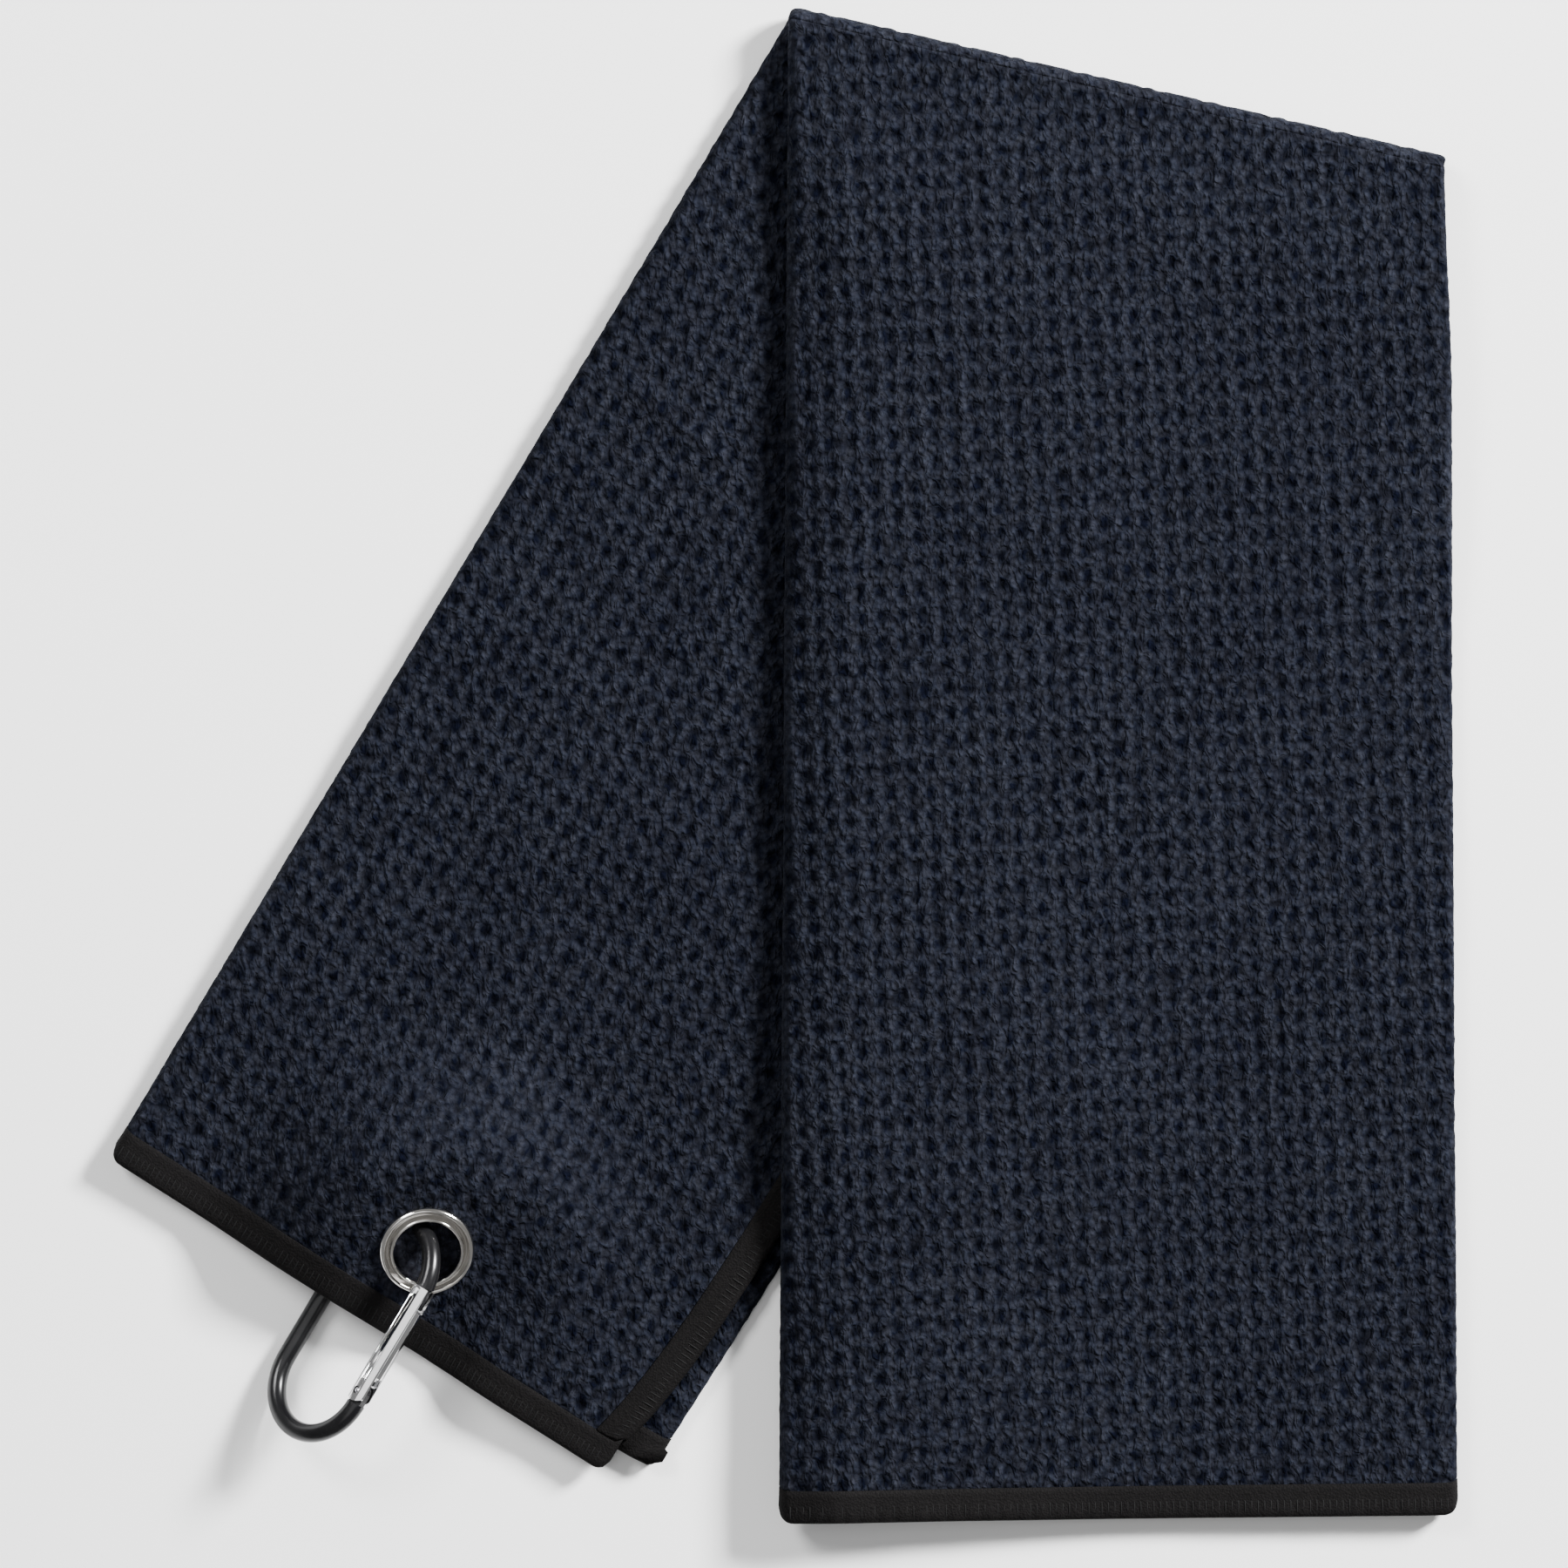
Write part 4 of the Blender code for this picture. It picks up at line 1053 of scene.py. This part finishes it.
def rod_body():
    """The bent rod, a round section swept along the clip's centre line."""
    start = math.asin((TOP_BEND + 0.0003) / BEND)
    line = []
    for a in np.linspace(start, math.pi, 65):
        line.append((TOP_BEND - BEND * math.sin(a), BEND * (1 - math.cos(a))))
    for a in np.linspace(0, math.pi, 65):
        line.append((BOTTOM_BEND + BEND * math.sin(a), BEND * (1 + math.cos(a))))
    sides = 40
    bm = bmesh.new()
    rings = []
    for index, (x, y) in enumerate(line):
        if index in (0, len(line) - 1):
            tangent = Vector((-1, 0, 0))
        else:
            before, after = line[index - 1], line[index + 1]
            tangent = Vector((after[0] - before[0], after[1] - before[1], 0)).normalized()
        side = Vector((-tangent.y, tangent.x, 0))
        ring = []
        for s in range(sides):
            a = 2 * math.pi * s / sides
            offset = side * ROD * math.cos(a) + Vector((0, 0, ROD * math.sin(a)))
            ring.append(bm.verts.new(Vector((x, y, 0)) + offset))
        rings.append(ring)
    for first, second in zip(rings, rings[1:]):
        for s in range(sides):
            n = (s + 1) % sides
            bm.faces.new((first[s], first[n], second[n], second[s]))
    for ring in (rings[0], rings[-1]):
        bm.faces.new(ring)
    return bm


def snap_clip():
    notch, nose_half, tang, half = 0.00095, 0.0015, 0.0017, 0.00075
    cut = GATE_LATCH - notch, GATE_LATCH + notch
    steps = [
        ("UNION", box_of((-0.0013, -nose_half, -half), (0.0045, nose_half, half))),
        ("DIFFERENCE", box_of((cut[0], -notch, -ROD), (cut[1], nose_half + 0.004, ROD))),
        ("UNION", box_of((GATE_HINGE, -tang, -half), (BOTTOM_BEND + 0.001, tang, half))),
        ("UNION", round_of(tang, 2 * half, (GATE_HINGE, 0, 0), (0, 0, 1))),
        ("DIFFERENCE", round_of(PIN_HOLE, 2 * ROD, (GATE_HINGE, 0, 0), (0, 0, 1))),
    ]
    return shaped("clip_rod", rod_body(), steps, BLACK, clip_frame(0.0), 0.00018)


def rounded_prism(start, radius, high, steps=24):
    """A prism along the gate, round about the hinge at its far end."""
    wide = radius + 0.001
    turns = [math.pi * k / steps for k in range(1, steps)]
    outline = [(start, wide), (start, -wide), (0, -wide), (0, -radius)]
    outline += [(radius * math.sin(a), -radius * math.cos(a)) for a in turns]
    outline += [(0, radius), (0, wide)]
    bm = bmesh.new()
    face = bm.faces.new([bm.verts.new((x, y, -high)) for x, y in outline])
    extruded = bmesh.ops.extrude_face_region(bm, geom=[face])["geom"]
    moved = [v for v in extruded if isinstance(v, bmesh.types.BMVert)]
    bmesh.ops.translate(bm, vec=(0, 0, 2 * high), verts=moved)
    return bm


def snap_gate():
    nose, slot = -GATE_HINGE, 0.00105
    wide = GATE + 0.004
    slot_start = 0.0213 - GATE_HINGE
    mouth = slot_start + slot
    steps = [
        ("INTERSECT", rounded_prism(nose - 0.003, GATE, GATE + 0.002)),
        ("DIFFERENCE", box_of((nose - 0.004, -wide, -slot), (nose + 0.0052, wide, slot))),
        ("DIFFERENCE", box_of((slot_start, -wide, -slot), (GATE + 0.004, wide, slot))),
        ("DIFFERENCE", round_of(0.00125, mouth - BORE_END, ((BORE_END + mouth) / 2, 0, 0), (1, 0, 0))),
        ("DIFFERENCE", round_of(PIN_HOLE, 0.01, (0, 0, 0), (0, 0, 1))),
        ("DIFFERENCE", round_of(PIN_HOLE, 0.01, (GATE_LATCH - GATE_HINGE, 0, 0), (0, 0, 1))),
    ]
    bar = round_of(GATE, 0.004 - nose, ((nose + 0.004) / 2, 0, 0), (1, 0, 0), 64)
    return shaped("clip_gate_bar", bar, steps, BRIGHT, clip_frame(GATE_HINGE), 0.00022)


def pin(name, along):
    """A pin with slightly domed heads."""
    head = [(PIN, PIN_HALF), (PIN * 0.6, PIN_HALF + 0.00016), (0.0, PIN_HALF + 0.00022)]
    bm = bmesh.new()
    outline = [(x, -z) for x, z in reversed(head)] + head
    verts = [bm.verts.new((x, 0, z)) for x, z in outline]
    edges = [bm.edges.new(pair) for pair in zip(verts, verts[1:])]
    whole = {"cent": (0, 0, 0), "axis": (0, 0, 1), "angle": 2 * math.pi}
    bmesh.ops.spin(bm, geom=verts + edges, steps=32, use_merge=True, **whole)
    bmesh.ops.remove_doubles(bm, verts=bm.verts, dist=1e-7)
    return soften(solid(name, bm, clip_frame(along), STEEL))


def spring():
    """The closing spring in the gate's bore."""
    turns, sides, wire, radius = 9, 10, 0.00018, 0.00085
    first, last = BORE_END + 0.00048, -0.00408
    count = turns * 28
    round_wire = np.linspace(0, 2 * math.pi, sides, endpoint=False)
    rise = (last - first) / (2 * math.pi * turns)
    rings = []
    for k in range(count + 1):
        a = 2 * math.pi * turns * k / count
        out = np.array([0, math.cos(a), math.sin(a)])
        heading = np.array([rise, -radius * math.sin(a), radius * math.cos(a)])
        square = np.cross(heading / np.linalg.norm(heading), out)
        centre = np.array([first + rise * a, 0, 0]) + out * radius
        rings.append([centre + wire * (out * math.cos(b) + square * math.sin(b)) for b in round_wire])
    made = sweep("gate_spring_coil", rings, STEEL)
    made.data.transform(clip_frame(GATE_HINGE))
    return made


clip_rod, gate_bar = snap_clip(), snap_gate()
hinge_pin, latch_pin = pin("gate_hinge_pin", GATE_HINGE), pin("gate_latch_pin", GATE_LATCH)
coil = spring()
plunger_shape = round_of(0.00085, 0.0016, (-0.0028, 0, 0), (1, 0, 0), 32)
plunger = solid("gate_spring_plunger", plunger_shape, clip_frame(GATE_HINGE), STEEL)
for piece, body, node, slot_name in (
    (clip_rod, "clip", "clip_body", "black_metal"),
    (gate_bar, "clip_gate", "gate", "bright_metal"),
    (hinge_pin, "clip_gate", "hinge_pin", "spring_steel"),
    (latch_pin, "clip_gate", "latch_pin", "spring_steel"),
    (coil, "clip_gate", "gate_spring", "spring_steel"),
    (plunger, "clip_gate", "spring_plunger", "spring_steel"),
):
    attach(piece, body)
    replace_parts(piece, node)


# ---- stage, light and camera
# The camera looks straight down on this place, at a square this wide
CAMERA_HEIGHT, VIEW_WIDTH, SENSOR = 2.0, 0.3333, 36
CAMERA_PLACE = (0.0009, -0.0028, CAMERA_HEIGHT)
WORLD_STRENGTH = 0.24


def stage():
    bm = bmesh.new()
    bmesh.ops.create_grid(bm, x_segments=1, y_segments=1, size=3.0)
    paint = tree_of("pale_floor", Base_Color=(0.93, 0.93, 0.93, 1), Roughness=0.9)[0]
    floor = solid("floor", bm, Matrix.Translation((0, 0, TABLE - 0.0002)), paint)


def area_light(name, place, size, power):
    """A square soft light that shines at the middle of the towel."""
    data = bpy.data.lights.new(name, "AREA")
    data.shape = "RECTANGLE"
    data.size = data.size_y = size
    data.energy = power
    made = put_in(name, data, None)
    made.location = place
    made.rotation_euler = (-Vector(place)).to_track_quat("-Z", "Y").to_euler()


def light_and_camera():
    scene = bpy.context.scene
    world = bpy.data.worlds.new("studio")
    world.use_nodes = True
    sky = world.node_tree.nodes["Background"].inputs
    sky["Color"].default_value = (1.0, 1.0, 1.0, 1)
    sky["Strength"].default_value = WORLD_STRENGTH
    scene.world = world
    area_light("key", (1.75, 1.05, 1.20), 0.54, 285)
    area_light("overhead", (-0.5, -0.2, 3.0), 2.2, 22)
    area_light("fill", (-0.9, 0.9, 1.3), 0.6, 30)
    data = bpy.data.cameras.new("camera")
    data.sensor_width = SENSOR
    data.lens = SENSOR * CAMERA_HEIGHT / VIEW_WIDTH
    camera = put_in("camera", data, None)
    camera.location = CAMERA_PLACE
    scene.camera = camera


stage()
light_and_camera()
